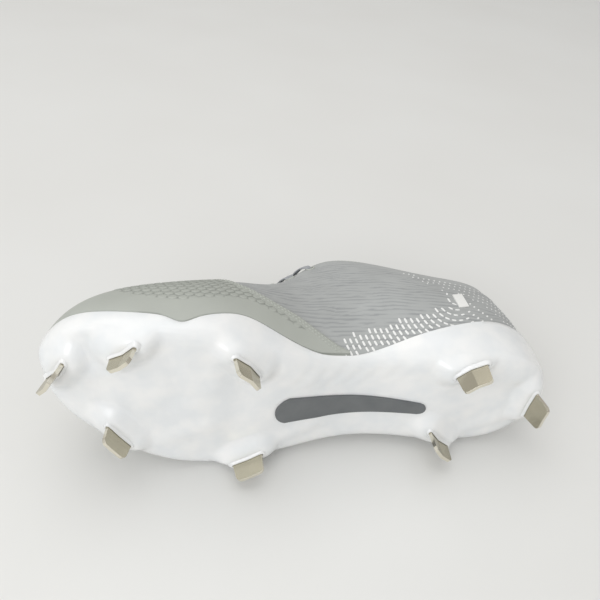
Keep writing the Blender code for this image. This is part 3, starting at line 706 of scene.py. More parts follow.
def add_piece(name, points, faces, surfaces, slot, nodes=(), spots=None, shade=None, kinds=None,
              sharp=35):
    """One piece on the shoe's body.

    spots are each point's two surface coordinates in millimetres, shade how deep it lies in a groove
    from 0 to 1, kept as painted shade for the colour, and kinds the number of each face's surface.
    """
    mesh = bpy.data.meshes.new(name)
    mesh.from_pydata(lay(points).tolist(), [], faces)
    if spots is not None:
        corners = np.empty(len(mesh.loops), int)
        mesh.loops.foreach_get("vertex_index", corners)
        flat = np.asarray(spots, float)[corners]
        # Where a face crosses the seam, its corners are brought to the same side of it.
        wrap = np.ptp(flat[:, 0]) / 2
        starts = np.repeat([face.loop_start for face in mesh.polygons],
                           [face.loop_total for face in mesh.polygons])
        turns = flat[starts, 0] - flat[:, 0]
        flat[:, 0] += np.where(turns > wrap, 2 * wrap, np.where(turns < -wrap, -2 * wrap, 0.0))
        mesh.uv_layers.new(name="surface").data.foreach_set("uv", flat.ravel())
    if shade is not None:
        # The groove depth is kept per point so that the surface paints shade into the grooves.
        mesh.attributes.new("painted_groove_shade", "FLOAT", "POINT").data.foreach_set("value", np.ravel(shade))
    for surface in surfaces:
        mesh.materials.append(surface)
    if kinds is not None:
        mesh.polygons.foreach_set("material_index", kinds)
    work = bmesh.new()
    work.from_mesh(mesh)
    bmesh.ops.recalc_face_normals(work, faces=work.faces)
    work.to_mesh(mesh)
    work.free()
    mesh.shade_smooth()
    mesh.set_sharp_from_angle(angle=math.radians(sharp))
    made = add_object(name, mesh)
    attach(made, "root")
    if nodes:
        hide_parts(*nodes)
    return made


def break_edge(piece, width, degrees, **fields):
    """A small round along each edge sharper than the given angle."""
    edge = piece.modifiers.new("broken edge", "BEVEL")
    edge.width = width * MILLIMETRE
    edge.segments = 3
    edge.limit_method = "ANGLE"
    edge.angle_limit = math.radians(degrees)
    for name, value in fields.items():
        setattr(edge, name, value)


# Surfaces.

def linear(code):
    """An sRGB hex colour as linear red, green, blue and alpha."""
    channels = [int(code[start : start + 2], 16) / 255 for start in (0, 2, 4)]
    return (*[c / 12.92 if c <= 0.04045 else ((c + 0.055) / 1.055) ** 2.4 for c in channels], 1.0)


def add_node(tree, kind, inputs=None, **fields):
    """Adds a node, sets its fields, and sets or links its inputs."""
    made = tree.nodes.new(kind)
    for name, value in fields.items():
        setattr(made, name, value)
    for name, value in (inputs or {}).items():
        if isinstance(value, bpy.types.NodeSocket):
            tree.links.new(value, made.inputs[name])
        else:
            made.inputs[name].default_value = value
    return made


def ramp(tree, value, *ends):
    """Two colours over a value. Each end is its place and its colour."""
    made = add_node(tree, "ShaderNodeValToRGB", {"Fac": value})
    for element, (place, code) in zip(made.color_ramp.elements, ends):
        element.position = place
        element.color = linear(code)
    return made.outputs["Color"]


class Surface:
    """A material that is being made, its patterns placed by one output of the coordinates' node.

    Plain values are set on its shader's own sockets.
    """

    def __init__(self, name, spot=None, **values):
        self.made = bpy.data.materials.new(name)
        self.made.use_nodes = True
        self.tree = self.made.node_tree
        self.shader = self.tree.nodes["Principled BSDF"]
        if spot:
            self.spot = add_node(self.tree, "ShaderNodeTexCoord").outputs[spot]
        for key, value in values.items():
            self.shader.inputs[key.replace("_", " ")].default_value = value

    def noise(self, size, detail):
        """Clouds of the given size."""
        return add_node(self.tree, "ShaderNodeTexNoise", {
            "Vector": self.spot, "Scale": 1 / size, "Detail": detail}).outputs["Fac"]

    def wave(self, step, direction, **inputs):
        """Bands a step apart. A wave texture repeats every 0.314 of its unit."""
        inputs = {key.replace("_", " "): value for key, value in inputs.items()}
        return add_node(self.tree, "ShaderNodeTexWave", {
            "Vector": self.spot, "Scale": 0.314 / step, **inputs},
            bands_direction=direction).outputs["Fac"]

    def mix(self, factor, first, second, **fields):
        """One colour over another."""
        return add_node(self.tree, "ShaderNodeMix", {"Factor": factor, 6: first, 7: second},
                        data_type="RGBA", **fields).outputs[2]

    def colour(self, output):
        self.tree.links.new(output, self.shader.inputs["Base Color"])

    def colour_with_painted_groove_shade(self, face, groove_shade_colour, size):
        """Colours the surface with painted shade in its grooves and with slow patches of the given
        size.
        """
        painted_groove_shade = add_node(self.tree, "ShaderNodeAttribute", attribute_name="painted_groove_shade").outputs["Fac"]
        swing = add_node(self.tree, "ShaderNodeMapRange", {
            "Value": self.noise(size, 4.0), "From Min": 0.3, "From Max": 0.7,
            "To Min": 0.94, "To Max": 1.04}).outputs["Result"]
        # The grooves are painted towards the darker colour, as painted shade.
        plain = self.mix(painted_groove_shade, linear(face), linear(groove_shade_colour))
        self.colour(self.mix(1.0, plain, swing, blend_type="MULTIPLY"))

    def bumps(self, *layers):
        """Bumps over one another. Each layer is its height, its depth and its strength."""
        under = {}
        for height, depth, strength in layers:
            bump = add_node(self.tree, "ShaderNodeBump", {
                "Height": height, "Distance": depth, "Strength": strength, **under})
            under = {"Normal": bump.outputs["Normal"]}
        self.tree.links.new(under["Normal"], self.shader.inputs["Normal"])
        return self.made


def plate_plastic():
    """Nylon elastomer, injection moulded: milky white, glossy, with the slow waves of its tool."""
    look = Surface(
        "moulded nylon elastomer, white", "Object", Roughness=0.27, IOR=1.5, Subsurface_Weight=0.15,
        Subsurface_Scale=0.004, Subsurface_Radius=(1.0, 1.0, 1.0), Coat_Weight=0.25,
        Coat_Roughness=0.12)
    # The tool's waves are about 14 mm long and the flow marks of the moulding about 3 mm.
    waves = look.noise(0.014, 2.0)
    look.colour(ramp(look.tree, waves, (0.35, "e6e8e9"), (0.65, "efefee")))
    return look.bumps((waves, 0.0004, 0.4), (look.noise(0.003, 3.0), 0.00006, 0.5))


def blade_steel():
    """Carbon steel, stamped and nickel plated: warm grey and satin, with its stamping's drag lines."""
    look = Surface("nickel plated stamped steel", "Object", Metallic=1.0, Roughness=0.26,
                   Base_Color=linear("bfb9a6"))
    # Drag lines run along the shoe's width and are about 0.4 mm apart, coarse enough to show.
    look.spot = add_node(look.tree, "ShaderNodeMapping", {
        "Vector": look.spot, "Scale": (2500.0, 160.0, 2500.0)}).outputs["Vector"]
    return look.bumps((look.noise(1.0, 1.0), 0.00001, 0.3))


def edge_steel_with_painted_highlight():
    """The blades' edges, tumbled smooth after plating, their colour lightened as a painted highlight.
    """
    return Surface("nickel plated steel, tumbled edge", Metallic=1.0, Roughness=0.09,
                   Base_Color=linear("e4dfd0")).made


def quarter_textile():
    """Polyester knit, fused under a clear skin: cool grey, matt, its fine ribs just showing."""
    look = Surface("fused polyester knit, cool grey", "UV", Roughness=0.68, Sheen_Weight=0.12,
                   Sheen_Roughness=0.5)
    # The ripples' troughs are painted darker, as painted shade.
    look.colour_with_painted_groove_shade("aaacab", "949697", 22.0)
    # The knit's ribs lie 1.1 mm apart up the side, and its grain is 0.5 mm.
    ribs = look.wave(1.1, "Y", Distortion=2.5, Detail=2.0, Detail_Scale=1.5)
    return look.bumps((ribs, 0.0001, 0.6), (look.noise(0.5, 3.0), 0.00008, 0.5))


def guard_film():
    """Polyurethane film, hot moulded over the toe: warm grey, satin, with a fine leather grain."""
    look = Surface("hot moulded polyurethane film, warm grey", "UV", Roughness=0.5, IOR=1.49)
    # The scales' grooves are painted darker, as painted shade.
    look.colour_with_painted_groove_shade("aeb1aa", "838680", 30.0)
    # The grain's pebbles are 0.7 mm across.
    pebbles = add_node(look.tree, "ShaderNodeTexVoronoi", {"Vector": look.spot, "Scale": 1 / 0.7})
    return look.bumps((pebbles.outputs["Distance"], 0.00004, 0.4),
                      (look.noise(2.5, 5.0), 0.00015, 0.3))


def inlay_plastic():
    """Nylon, moulded dark grey: satin, with the spark-eroded grain of its tool."""
    look = Surface("spark grained nylon, dark grey", "Object", Roughness=0.42, IOR=1.53)
    look.colour(ramp(look.tree, look.noise(0.012, 3.0), (0.3, "606365"), (0.7, "6a6d6e")))
    # The grain is 0.6 mm, coarser than the real 0.1 mm so that it shows.
    return look.bumps((look.noise(0.0006, 2.0), 0.00004, 0.6))


def woven(name, light, dark, thread, depth, roughness):
    """A plain weave of two threads over and under, thread millimetres apart."""
    look = Surface(name, "UV", Roughness=roughness, Sheen_Weight=0.2, Sheen_Roughness=0.5)
    warp, weft = (look.wave(thread, way, Distortion=0.6, Detail=1.0) for way in "XY")
    both = add_node(look.tree, "ShaderNodeMath", {0: warp, 1: weft}, operation="MULTIPLY")
    look.colour(look.mix(both.outputs["Value"], linear(dark), linear(light)))
    return look.bumps((both.outputs["Value"], depth, 0.8))


def print_ink(name, code):
    """Screen printed puff ink, a coarse thread, or the painted shade in the eyelets: matt, slightly
    crumbly.
    """
    look = Surface(name, "Object", Roughness=0.6, Base_Color=linear(code))
    return look.bumps((look.noise(0.0005, 2.0), 0.00004, 0.5))


def floor_laminate():
    """White laminate table top: satin, very even, with a faint cloudiness."""
    look = Surface("white laminate", "Object", Roughness=0.5)
    look.colour(ramp(look.tree, look.noise(0.18, 2.0), (0.0, "dddcd9"), (1.0, "e3e3e1")))
    return look.made


# Camera, light and floor.

def add_camera():
    """The photograph's camera."""
    right, down, forward = (TURN @ way for way in camera_axes())
    lens = bpy.data.cameras.new("camera")
    lens.lens = CAMERA_LENS
    lens.sensor_width = CAMERA_SENSOR
    lens.clip_start = 0.01
    made = add_object("camera", lens)
    axes = Matrix(np.column_stack([right, -down, -forward]).tolist()).to_4x4()
    made.matrix_world = Matrix.Translation(Vector(lay_free(CAMERA_PLACE))) @ axes
    bpy.context.scene.camera = made


def add_light(name, place, size, power, code):
    """A soft square light that faces the shoe."""
    lamp = bpy.data.lights.new(name, "AREA")
    lamp.size = size
    lamp.energy = power
    lamp.color = linear(code)[:3]
    made = add_object(name, lamp)
    made.location = place
    aim = Vector((0.0, 0.0, 0.05))
    made.rotation_euler = (aim - Vector(place)).to_track_quat("-Z", "Y").to_euler()


def add_surroundings():
    """A pale floor, a window's light from the toe's side, a ceiling's, and a room darker below."""
    half = 3.0
    drop = 0.0002
    mesh = bpy.data.meshes.new("floor")
    corners = [(x * half, y * half, -drop) for x, y in ((-1, -1), (1, -1), (1, 1), (-1, 1))]
    mesh.from_pydata(corners, [], [(0, 1, 2, 3)])
    mesh.materials.append(floor_laminate())
    floor = add_object("floor", mesh)
    add_light("window", (-0.8, -1.1, 0.95), 0.8, 7.4, "fcfdff")
    add_light("ceiling", (-0.2, 0.4, 1.6), 1.4, 7.0, "fffefb")
    world = bpy.data.worlds.new("room")
    bpy.context.scene.world = world
    world.use_nodes = True
    tree = world.node_tree
    # The room is brightest up on the toe's side and dark down on the heel's side.
    up = add_node(tree, "ShaderNodeVectorMath", {
        0: add_node(tree, "ShaderNodeTexCoord").outputs["Generated"], 1: (-0.45, -0.35, 0.82)},
        operation="DOT_PRODUCT")
    fade = ramp(tree, up.outputs["Value"], (0.0, "c6c4c1"), (0.75, "fcfdfd"))
    tree.links.new(fade, tree.nodes["Background"].inputs["Color"])
    tree.nodes["Background"].inputs["Strength"].default_value = 0.83
    # The photograph's own plain response, without a film curve.
    bpy.context.scene.view_settings.view_transform = "Standard"


# Pieces of the sole.

def add_plate(surface):
    """The moulded sole, its bosses, side wall and footbed, with the relief of its underside."""
    angles = spread_angles(PLATE_COLUMNS)
    centre = centre_line(angles)
    edge = outline(angles)
    width = np.linalg.norm(edge - centre, axis=-1)
    rings = []

    def add_ring(plan, height):
        rings.append(np.column_stack([plan, height]))

    def inset(distance):
        return edge + (centre - edge) * (distance / width)[:, None]

    for part in np.linspace(0, 1, PLATE_ROWS):
        plan = centre + (edge - centre) * (part * (1 - EDGE_ROUND / width))[:, None]
        add_ring(plan, relieved(plan))
    # The round edge is one curve that starts flat and runs smoothly into the side wall.
    wall = offset_upper(angles, 0.0, CLEARANCE + PLATE_WALL)
    climb = unit(offset_upper(angles, 0.02, CLEARANCE + PLATE_WALL) - wall)
    tall = wall[:, 2] - ground(wall[:, 0])
    last_handle = wall[:, :2] - climb[:, :2] * (STEEP_HANDLE * tall)[:, None]
    for turn in np.linspace(0, 1, 14)[1:-1]:
        plan = cubic(
            turn, inset(EDGE_ROUND), inset(EDGE_ROUND * FLAT_HANDLE), last_handle, wall[:, :2])
        lift = cubic(turn, 0.0, 0.0, tall * (1 - STEEP_HANDLE * climb[:, 2]), tall)
        base = ground(plan[:, 0])
        add_ring(plan, base + (relieved(plan) - base) * (1 - ease(turn) ** 2) + lift)
    rim = rim_share(angles)
    for part in np.linspace(0, 1, 9):
        thick = PLATE_WALL + (PLATE_LIP - PLATE_WALL) * part**2
        rings.append(offset_upper(angles, rim * part, CLEARANCE + thick))
    for out in (0.75, 0.3):
        rings.append(offset_upper(angles, rim * 1.01, CLEARANCE * 1.01 + PLATE_LIP * out))
    for part in (1.0, 0.8, 0.6, 0.4, 0.2):
        rings.append(offset_upper(angles, rim * part, CLEARANCE))
    for part in (1.0, 0.5, 0.0):
        plan = centre + (edge - outward(angles) * PLATE_WALL - centre) * part
        add_ring(plan, ground(plan[:, 0]) + PLATE_THICKNESS)
    add_piece("sole_plate", *capped_loft(rings), [surface], "outsole_plate", ["outsole_plate"],
              sharp=50)


def add_seat_lips(surface):
    """The raised lip moulded around the foot of each blade."""
    sides = np.linspace(-1, 1, 15)
    arc = np.linspace(90, -90, 11)[1:-1]
    course = [(side, 90.0) for side in sides] + [(1.0, turn) for turn in arc]
    course += [(side, -90.0) for side in sides[::-1]] + [(-1.0, turn - 180) for turn in arc]
    points = []
    for boss in BOSSES:
        along_way, across_way, down, seat = blade_axes(boss)
        for reach, high in LIP:
            radius = BLADE_THICKNESS / 2 + reach
            for side, way in course:
                along = side * (boss.wide / 2 - BLADE_THICKNESS / 2 + 0.4)
                along += radius * math.cos(math.radians(way))
                across = (abs(along) - boss.wide / 4) * blade_lean(boss)
                across += radius * math.sin(math.radians(way))
                points.append(seat + along_way * along + across_way * across + down * high)
    faces = grid_faces(len(LIP), len(course)).tolist()
    faces = repeated(faces, len(LIP) * len(course), len(BOSSES))
    add_piece("seat_lips", points, faces, [surface], "outsole_plate", sharp=60)


def add_blades(surface, polished_with_painted_highlight):
    """Each bent steel blade, sunk in its lip, with its edges broken, polished and painted lighter as a
    highlight.
    """
    for boss in BOSSES:
        corner = BLADE_CORNER / (boss.wide / 2)
        ends = 1 - corner + corner * np.sin(np.linspace(0, math.pi / 2, 8))
        spots = np.concatenate([-ends[::-1], [-0.45, 0.0, 0.45], ends])
        points, faces = slab(*blade_grids(boss, spots, -BLADE_ROOT))
        # The two broad faces come first, and the narrow sides after them are polished and painted
        # lighter as a highlight.
        broad = 2 * (len(spots) - 1)
        kinds = [0] * broad + [1] * (len(faces) - broad)
        blade = add_piece(boss.name.replace("spike", "blade"), points, faces, [surface, polished_with_painted_highlight],
                          "spikes", [boss.name], kinds=kinds, sharp=14)
        break_edge(blade, BLADE_EDGE, 30, material=1)


def add_inlay(surface):
    """A plain tapering bar with round ends, laid on the underside of the waist."""
    middle = np.array([INLAY_MIDDLE * SHOE_LENGTH, INLAY_ASIDE * BALL_WIDTH])
    back, front = INLAY_BACK_WIDTH / 2, INLAY_FRONT_WIDTH / 2
    grid = []
    for part in (1 - np.cos(np.linspace(0.05, math.pi - 0.05, 90))) / 2:
        half = back + (front - back) * part
        for reach, end in ((part * INLAY_LENGTH, back), ((1 - part) * INLAY_LENGTH, front)):
            if reach < end:
                half = min(half, math.sqrt(end**2 - (end - reach) ** 2))
        x = middle[0] + (part - 0.5) * INLAY_LENGTH
        grid.append([(x, middle[1] + spot * half) for spot in np.linspace(-1, 1, 17)])
    plan = np.array(grid)
    base = relieved(plan)
    points, faces = slab(np.dstack([plan, base - CLEARANCE - INLAY_THICKNESS]),
                         np.dstack([plan, base + CLEARANCE]))
    inlay = add_piece("waist_inlay", points, faces, [surface], "shank_inlay", ["shank_inlay"])
    break_edge(inlay, INLAY_EDGE, 50)


def add_insole(surface):
    """The cloth footbed, dished a little at its edge."""
    angles = spread_angles(180)
    centre = centre_line(angles)
    inset = PLATE_WALL + UPPER_WALL + 2 * CLEARANCE + 0.4
    edge = outline(angles) - outward(angles) * inset
    rings = []
    for part, lift in ((0.0, 0.0), (0.5, 0.0), (0.98, 0.0), (1.0, 0.15), (1.0, 0.8), (0.985, 0.97),
                       (0.96, 1.0), (0.8, 0.96), (0.6, 0.92), (0.4, 0.9), (0.2, 0.9), (0.0, 0.9)):
        plan = centre + (edge - centre) * part
        height = ground(plan[:, 0]) + PLATE_THICKNESS + CLEARANCE + lift * INSOLE_THICKNESS
        rings.append(np.column_stack([plan, height]))
    points, faces = capped_loft(rings)
    add_piece("footbed", points, faces, [surface], "insole", ["insole"], points[:, :2], sharp=60)


# Pieces of the upper.

def speckle(across, up, seed):
    """Smooth random heights from 0 to 1 over a plane whose cells are 1 wide."""
    cells = 64
    grid = np.random.default_rng(seed).random((cells, cells))
    column = np.floor(across).astype(int)
    row = np.floor(up).astype(int)
    right = ease(across - column)
    above = ease(up - row)
    low, high = (
        grid[column % cells, line] * (1 - right) + grid[(column + 1) % cells, line] * right
        for line in (row % cells, (row + 1) % cells))
    return low * (1 - above) + high * above


def ripples(along, up):
    """Height, from -1 to 1, of the quarter's ripples: short, wavy crests that fade in and out."""
    wander = speckle(along / 15, up / 8, 11) + 0.4 * speckle(along / 5, up / 4, 12)
    crest = np.sin(FULL_TURN * (up / RIPPLE_STEP + 0.8 * wander))
    return crest * (0.15 + 0.85 * speckle(along / 8, up / 3, 13))


def creases(grid, rows):
    """Depth of some of the listed creases at points of the upper."""
    depth = np.zeros(grid.shape[:-1])
    for angle, share, turn, length, wide, high in rows:
        middle, way, _ = on_upper(math.radians(angle), share, turn)
        away = grid - middle
        along = away @ way
        aside = np.linalg.norm(away - along[..., None] * way, axis=-1)
        fade = ease((length / 2 - np.abs(along)) / (length / 3))
        depth += high * np.exp(-((aside / wide) ** 2)) * fade
    return depth


def add_upper(textile, lining):
    """The textile shell with its ripples and creases, the ripples' troughs painted in shade, lined
    inside and around the collar.
    """
    angles = spread_angles(UPPER_COLUMNS)
    shares = np.linspace(0, 1, UPPER_ROWS)[:, None]
    up = column_lengths(angles, shares[:, 0])
    along = np.broadcast_to(side_lengths(angles), up.shape)
    calm = ease((up - 2) / 6) * ease((up[-1] - up - 4) / 10)
    wave = ripples(along, up) * calm * ease((np.abs(np.degrees(angles)) - 58) / 16)
    height = wave * RIPPLE_DEPTH + creases(upper_point(angles, shares), CREASES)
    front = offset_upper(angles, shares, height)
    # The wall is padded towards the collar.
    inner_shares = np.linspace(0, 1, 34)[::-1, None]
    thick = UPPER_WALL + PADDING(angles) * ease((inner_shares - 0.6) / 0.3)
    back = offset_upper(angles, inner_shares, -thick)
    inner_up = 2 * up[-1] - column_lengths(angles, inner_shares[::-1, 0])[::-1]
    # The collar's edge is rounded over by a bead between the two faces.
    out = unit(upper_point(angles, 1.0) - upper_point(angles, 0.985))
    bead = []
    for turn in (0.25, 0.5, 0.75):
        part = front[-1] + (back[0] - front[-1]) * (1 - math.cos(turn * math.pi)) / 2
        bead.append(part + out * (0.35 * thick[0] * math.sin(turn * math.pi))[:, None])
    rows = np.concatenate([front, bead, back])
    spots_up = np.concatenate([up, np.repeat(up[-1:], len(bead), axis=0), inner_up])
    spots = np.stack([np.broadcast_to(along[0], spots_up.shape), spots_up], axis=-1).reshape(-1, 2)
    shade = np.zeros(spots_up.shape)
    # The ripples' troughs get painted shade.
    shade[: len(front)] = ease((-wave - 0.15) / 0.5)
    faces = grid_faces(len(rows), UPPER_COLUMNS, closed_rows=True)
    kinds = (faces[:, 0] // UPPER_COLUMNS >= UPPER_ROWS).astype(int)
    add_piece("upper_shell", rows.reshape(-1, 3), faces.tolist(), [textile, lining], "upper",
              ["upper"], spots, shade, kinds, sharp=60)


def scales(along, up):
    """Height of the toe guard's scales, each tilted out at its lower edge, and the painted shade of
    their grooves, darkest at the lower edges.
    """
    pitch = np.array([1.0, math.sqrt(3)])
    spot = np.stack([along / SCALE_WIDTH, up / (SCALE_WIDTH * SCALE_TALL)], axis=-1)
    one = spot % pitch - pitch / 2
    two = (spot - pitch / 2) % pitch - pitch / 2
    nearer = (np.linalg.norm(one, axis=-1) < np.linalg.norm(two, axis=-1))[..., None]
    own = np.where(nearer, one, two)
    edge = np.maximum(np.abs(own) @ (pitch / 2), np.abs(own[..., 0]))
    inside = ease((0.5 - edge) / SCALE_GROOVE)
    tilt = 0.35 + 0.65 * ease(0.5 - 2 * own[..., 1])
    return inside * tilt, (1 - inside) * tilt


def guard_edges(angles):
    """The toe guard's lower edge, just behind the sole's rim, and its top edge, as shares."""
    at, top = np.transpose(GUARD_EDGE)
    low = np.maximum(rim_share(angles) - 0.008, 0.002)
    return low, np.maximum(np.interp(angles, np.radians(at), top), low + 0.012)


def scaled_part(angles, points, from_top):
    """Where the toe guard has scales: on the inner side above a line of the photograph."""
    seen = in_picture(points)
    above = np.interp(seen[..., 0], *np.transpose(SCALE_LINE)) - seen[..., 1]
    inner = ease((np.degrees(angles) - 14) / 16)
    return ease(above / 3.0) * ease((from_top - 5.2) / 1.5) * inner


def add_guard(surface):
    """The toe guard: smooth by the sole, scaled above, tucked behind the rim, thin at its edge."""
    first, last = GUARD_EDGE[0][0], GUARD_EDGE[-1][0]
    # Most columns stand where the scales are.
    spread = np.interp(np.linspace(0, 1, GUARD_COLUMNS), (0.0, 0.16, 0.9, 1.0),
                       np.radians((first, 14.0, 80.0, last)))
    low, high = guard_edges(spread)
    shares = low + (high - low) * np.linspace(0, 1, GUARD_ROWS)[:, None]
    angles = np.broadcast_to(spread, shares.shape)
    trial = np.linspace(0, 1, 61)
    table = column_lengths(spread, trial)
    up = np.array([np.interp(shares[:, k], trial, table[:, k]) for k in range(len(spread))]).T
    along = np.broadcast_to(side_lengths(spread), shares.shape)
    plain = upper_point(angles, shares)
    scaled = scaled_part(angles, plain, up[-1] - up)
    # The second value is the painted shade of the scales' grooves.
    lift, painted_groove_shade = scales(along, up)
    thin = OVERLAY_THICKNESS * (0.35 + 0.65 * ease((up[-1] - up) / 1.4))
    tuck = ease((up - up[0] - 1.0) / 0.7)
    height = (OVERLAY_CLEARANCE + thin) * (0.15 + 0.85 * tuck) + creases(plain, CREASES[:1])
    height = height + scaled * SCALE_DEPTH * (lift - 0.5)
    # The border dives into the textile below, so that the film shows no open edge.
    angles, shares, height, along, up, shade = (
        np.pad(values, 1, mode="edge")
        for values in (angles, shares, height, along, up, painted_groove_shade * scaled))
    for border in (height[0], height[-1], height[:, 0], height[:, -1]):
        border[:] = -OVERLAY_DIVE
    front = offset_upper(angles, shares, height)
    faces = grid_faces(*front.shape[:2], closed_columns=False).tolist()
    add_piece("toe_guard", front.reshape(-1, 3), faces, [surface], "toe_overlay", ["toe_overlay"],
              np.stack([along, up], axis=-1).reshape(-1, 2), shade, sharp=60)


def pellets(name, spots, surface, slot):
    """Many small raised marks in one mesh, each a bar with round ends.

    Each spot is its middle, its direction, the surface's normal, and its length, width and height.
    """
    turns = np.linspace(0, FULL_TURN, 12, endpoint=False)
    # Share of the half size and of the height, from the foot in the surface to the top.
    layers = ((1.0, -1.0), (1.0, 0.35), (0.85, 0.8), (0.5, 1.0))
    shape = np.array([(math.cos(turn) * wide, math.sin(turn) * wide, high)
                      for wide, high in layers for turn in turns])
    faces = grid_faces(len(layers), len(turns)).tolist()
    faces.append(list(range(len(shape) - len(turns), len(shape))))
    ends = np.sign(shape[:, 0]) * (np.abs(shape[:, 0]) > 0.05)
    points = []
    for middle, way, normal, length, wide, high in spots:
        along = shape[:, :1] * wide / 2 + ends[:, None] * max(length - wide, 0.0) / 2
        aside = shape[:, 1:2] * wide / 2 * np.cross(normal, way)
        points.append(middle + along * way + aside + shape[:, 2:] * high * normal)
    faces = repeated(faces, len(shape), len(points))
    add_piece(name, np.concatenate(points), faces, [surface], slot, sharp=60)


def in_band(right, above):
    """Whether the band of dashes covers a spot, in pixels from the middle of the rings."""
    below_band = above < -BAND_BELOW - BAND_SINK * max(0.0, -right - BAND_BELOW)
    return below_band or right > -BAND_BELOW - BAND_OPEN * max(0.0, above)


def ring_marks():
    """Both ends of each dash of the inner side, in pixels, and its length and width in millimetres."""
    directions, long_at, wide_at = np.transpose(DASHES)
    ends = []
    sizes = []
    for ring in range(2, RING_COUNT):
        radius = RING_STEP * ring
        count = round(FULL_TURN * radius / RING_PITCH)
        for number in range(count):
            turn = FULL_TURN * (number + 0.5 * (ring % 2)) / count
            way = np.array([math.cos(turn), -math.sin(turn)])
            if in_band(radius * way[0], -radius * way[1]):
                length, wide = (np.interp(math.degrees(turn), directions, sizes_at)
                                for sizes_at in (long_at, wide_at))
                half = MILLIMETRE_THERE / 2 * length * np.array([way[1], -way[0]])
                spot = RING_MIDDLE + radius * way
                ends.append((spot - half, spot + half))
                sizes.append((length, wide))
    return np.array(ends), np.array(sizes)


def in_label(spot):
    """Whether a pixel lies under the label or right beside it."""
    corners = np.array(LABEL_CORNERS)
    part = (spot[1] - corners[2, 1]) / (corners[0, 1] - corners[2, 1])
    left = corners[2, 0] + (corners[0, 0] - corners[2, 0]) * part
    return -0.15 < part < 1.15 and left - 2.5 < spot[0] < left + 11.5


def turned_dots():
    """Angles and shares of dots in staggered rows where the side turns away from the photograph.

    Where the photograph still shows them, every other row is there.
    """
    angles = np.radians(np.linspace(100, 180, 241))
    lengths = side_lengths(angles)
    trial = np.linspace(0, 1, 61)
    table = column_lengths(angles, trial)
    for row in range(2, DOT_ROWS):
        up = row * DOT_STEP * 0.8
        for along in np.arange(lengths[-1] - DOT_STEP * (0.25 + 0.5 * (row % 2)), 0, -DOT_STEP):
            angle = float(np.interp(along, lengths, angles))
            heights = table[:, np.argmin(np.abs(angles - angle))]
            share = float(np.interp(up, heights, trial))
            square_on = float(facing(angle, share))
            right, below = in_picture(upper_point(angle, share)) - RING_MIDDLE
            seen = 0 <= square_on < TURNED_AWAY and row % 2 == 0 and in_band(right, -below)
            if up < heights[-1] - 9 and (square_on < 0 or seen):
                yield angle, share


def add_dashes(surface):
    """The white dashes of both sides, clear of the sole's rim, the collar and the label."""
    ends, sizes = ring_marks()
    angles, shares, miss = (
        values.reshape(-1, 2) for values in find_on_upper(ends.reshape(-1, 2)))
    angle = angles.mean(axis=1)
    share = shares.mean(axis=1)
    keep = (miss.max(axis=1) < DASH_MISS) & (share < DASH_TOP) & (np.degrees(angle) > DASH_FIRST)
    keep &= (share > rim_share(angle) + DASH_OFF_SEEN_RIM) & (facing(angle, share) > TURNED_AWAY)
    spots = []
    for number in np.flatnonzero(keep):
        length, wide = sizes[number]
        for side in SIDES:
            if side > 0 and in_label(ends[number].mean(axis=0)):
                continue
            if side < 0 and share[number] < rim_share(-angle[number]) + DASH_OFF_RIM:
                continue
            start, end = upper_point(side * angles[number], shares[number])
            normal = upper_normal(side * angle[number], share[number])
            long = max(min(float(np.linalg.norm(end - start)), length * 1.2), wide)
            spots.append(((start + end) / 2, unit(end - start), normal, long, wide, DASH_HEIGHT))
    for angle_at, share_at in turned_dots():
        for side in SIDES:
            if share_at > rim_share(side * angle_at) + DASH_OFF_RIM:
                mark = on_upper(side * angle_at, share_at, 0.0)
                spots.append((*mark, DOT_SIZE, DOT_SIZE, DASH_HEIGHT))
    pellets("quarter_dashes", spots, surface, "upper")


def stitches(course, normals, offset):
    """Stitches along a course of points, set sideways on the surface by offset millimetres."""
    ways = unit(np.gradient(course, axis=0))
    moved = course + np.cross(normals, ways) * offset
    reach = run_lengths(moved)
    for stop in np.arange(STITCH_STEP, reach[-1] - STITCH_STEP, STITCH_STEP):
        middle, way, normal = (
            np.array([np.interp(stop, reach, values[:, k]) for k in range(3)])
            for values in (moved, ways, normals))
        yield middle, unit(way), unit(normal), STITCH_LENGTH, STITCH_WIDTH, STITCH_WIDTH / 2


def add_stitching(surface):
    """Two rows along the toe guard's edge, and one row along each side of the throat."""
    angles = np.radians(np.linspace(GUARD_EDGE[0][0] + 2, GUARD_EDGE[-1][0] - 1, 500))
    _, high = guard_edges(angles)
    normals = upper_normal(angles, high)
    course = upper_point(angles, high) + normals * (OVERLAY_CLEARANCE + OVERLAY_THICKNESS)
    spots = [spot for offset in GUARD_STITCHES for spot in stitches(course, normals, offset)]
    for side in SIDES:
        throat = side * np.radians(np.linspace(8, 112, 200))
        share = 1 - THROAT_STITCHES / COLUMN_LENGTH
        spots += stitches(upper_point(throat, share), upper_normal(throat, share), 0.0)
    pellets("stitching", spots, surface, "upper")


def add_label(surface):
    """A small blank woven label on the inner side, above the dashes."""
    corners = np.array(LABEL_CORNERS)
    part = np.linspace(0, 1, LABEL_FACETS)
    low = corners[0] + (corners[1] - corners[0]) * part[:, None]
    high = corners[2] + (corners[3] - corners[2]) * part[:, None]
    grid = low[None] + (high - low)[None] * part[:, None, None]
    angles, shares, _ = (
        values.reshape(LABEL_FACETS, LABEL_FACETS) for values in find_on_upper(grid.reshape(-1, 2)))
    points, faces = slab(*(
        offset_upper(angles, shares, height) for height in (LABEL_HEIGHT, -LABEL_ROOT)))
    spots = np.stack(np.meshgrid(*(part * size for size in LABEL_SIZE)), axis=-1).reshape(-1, 2)
    add_piece("side_label", points, faces, [surface], "upper", spots=np.tile(spots, (2, 1)))


# Tongue and lacing.

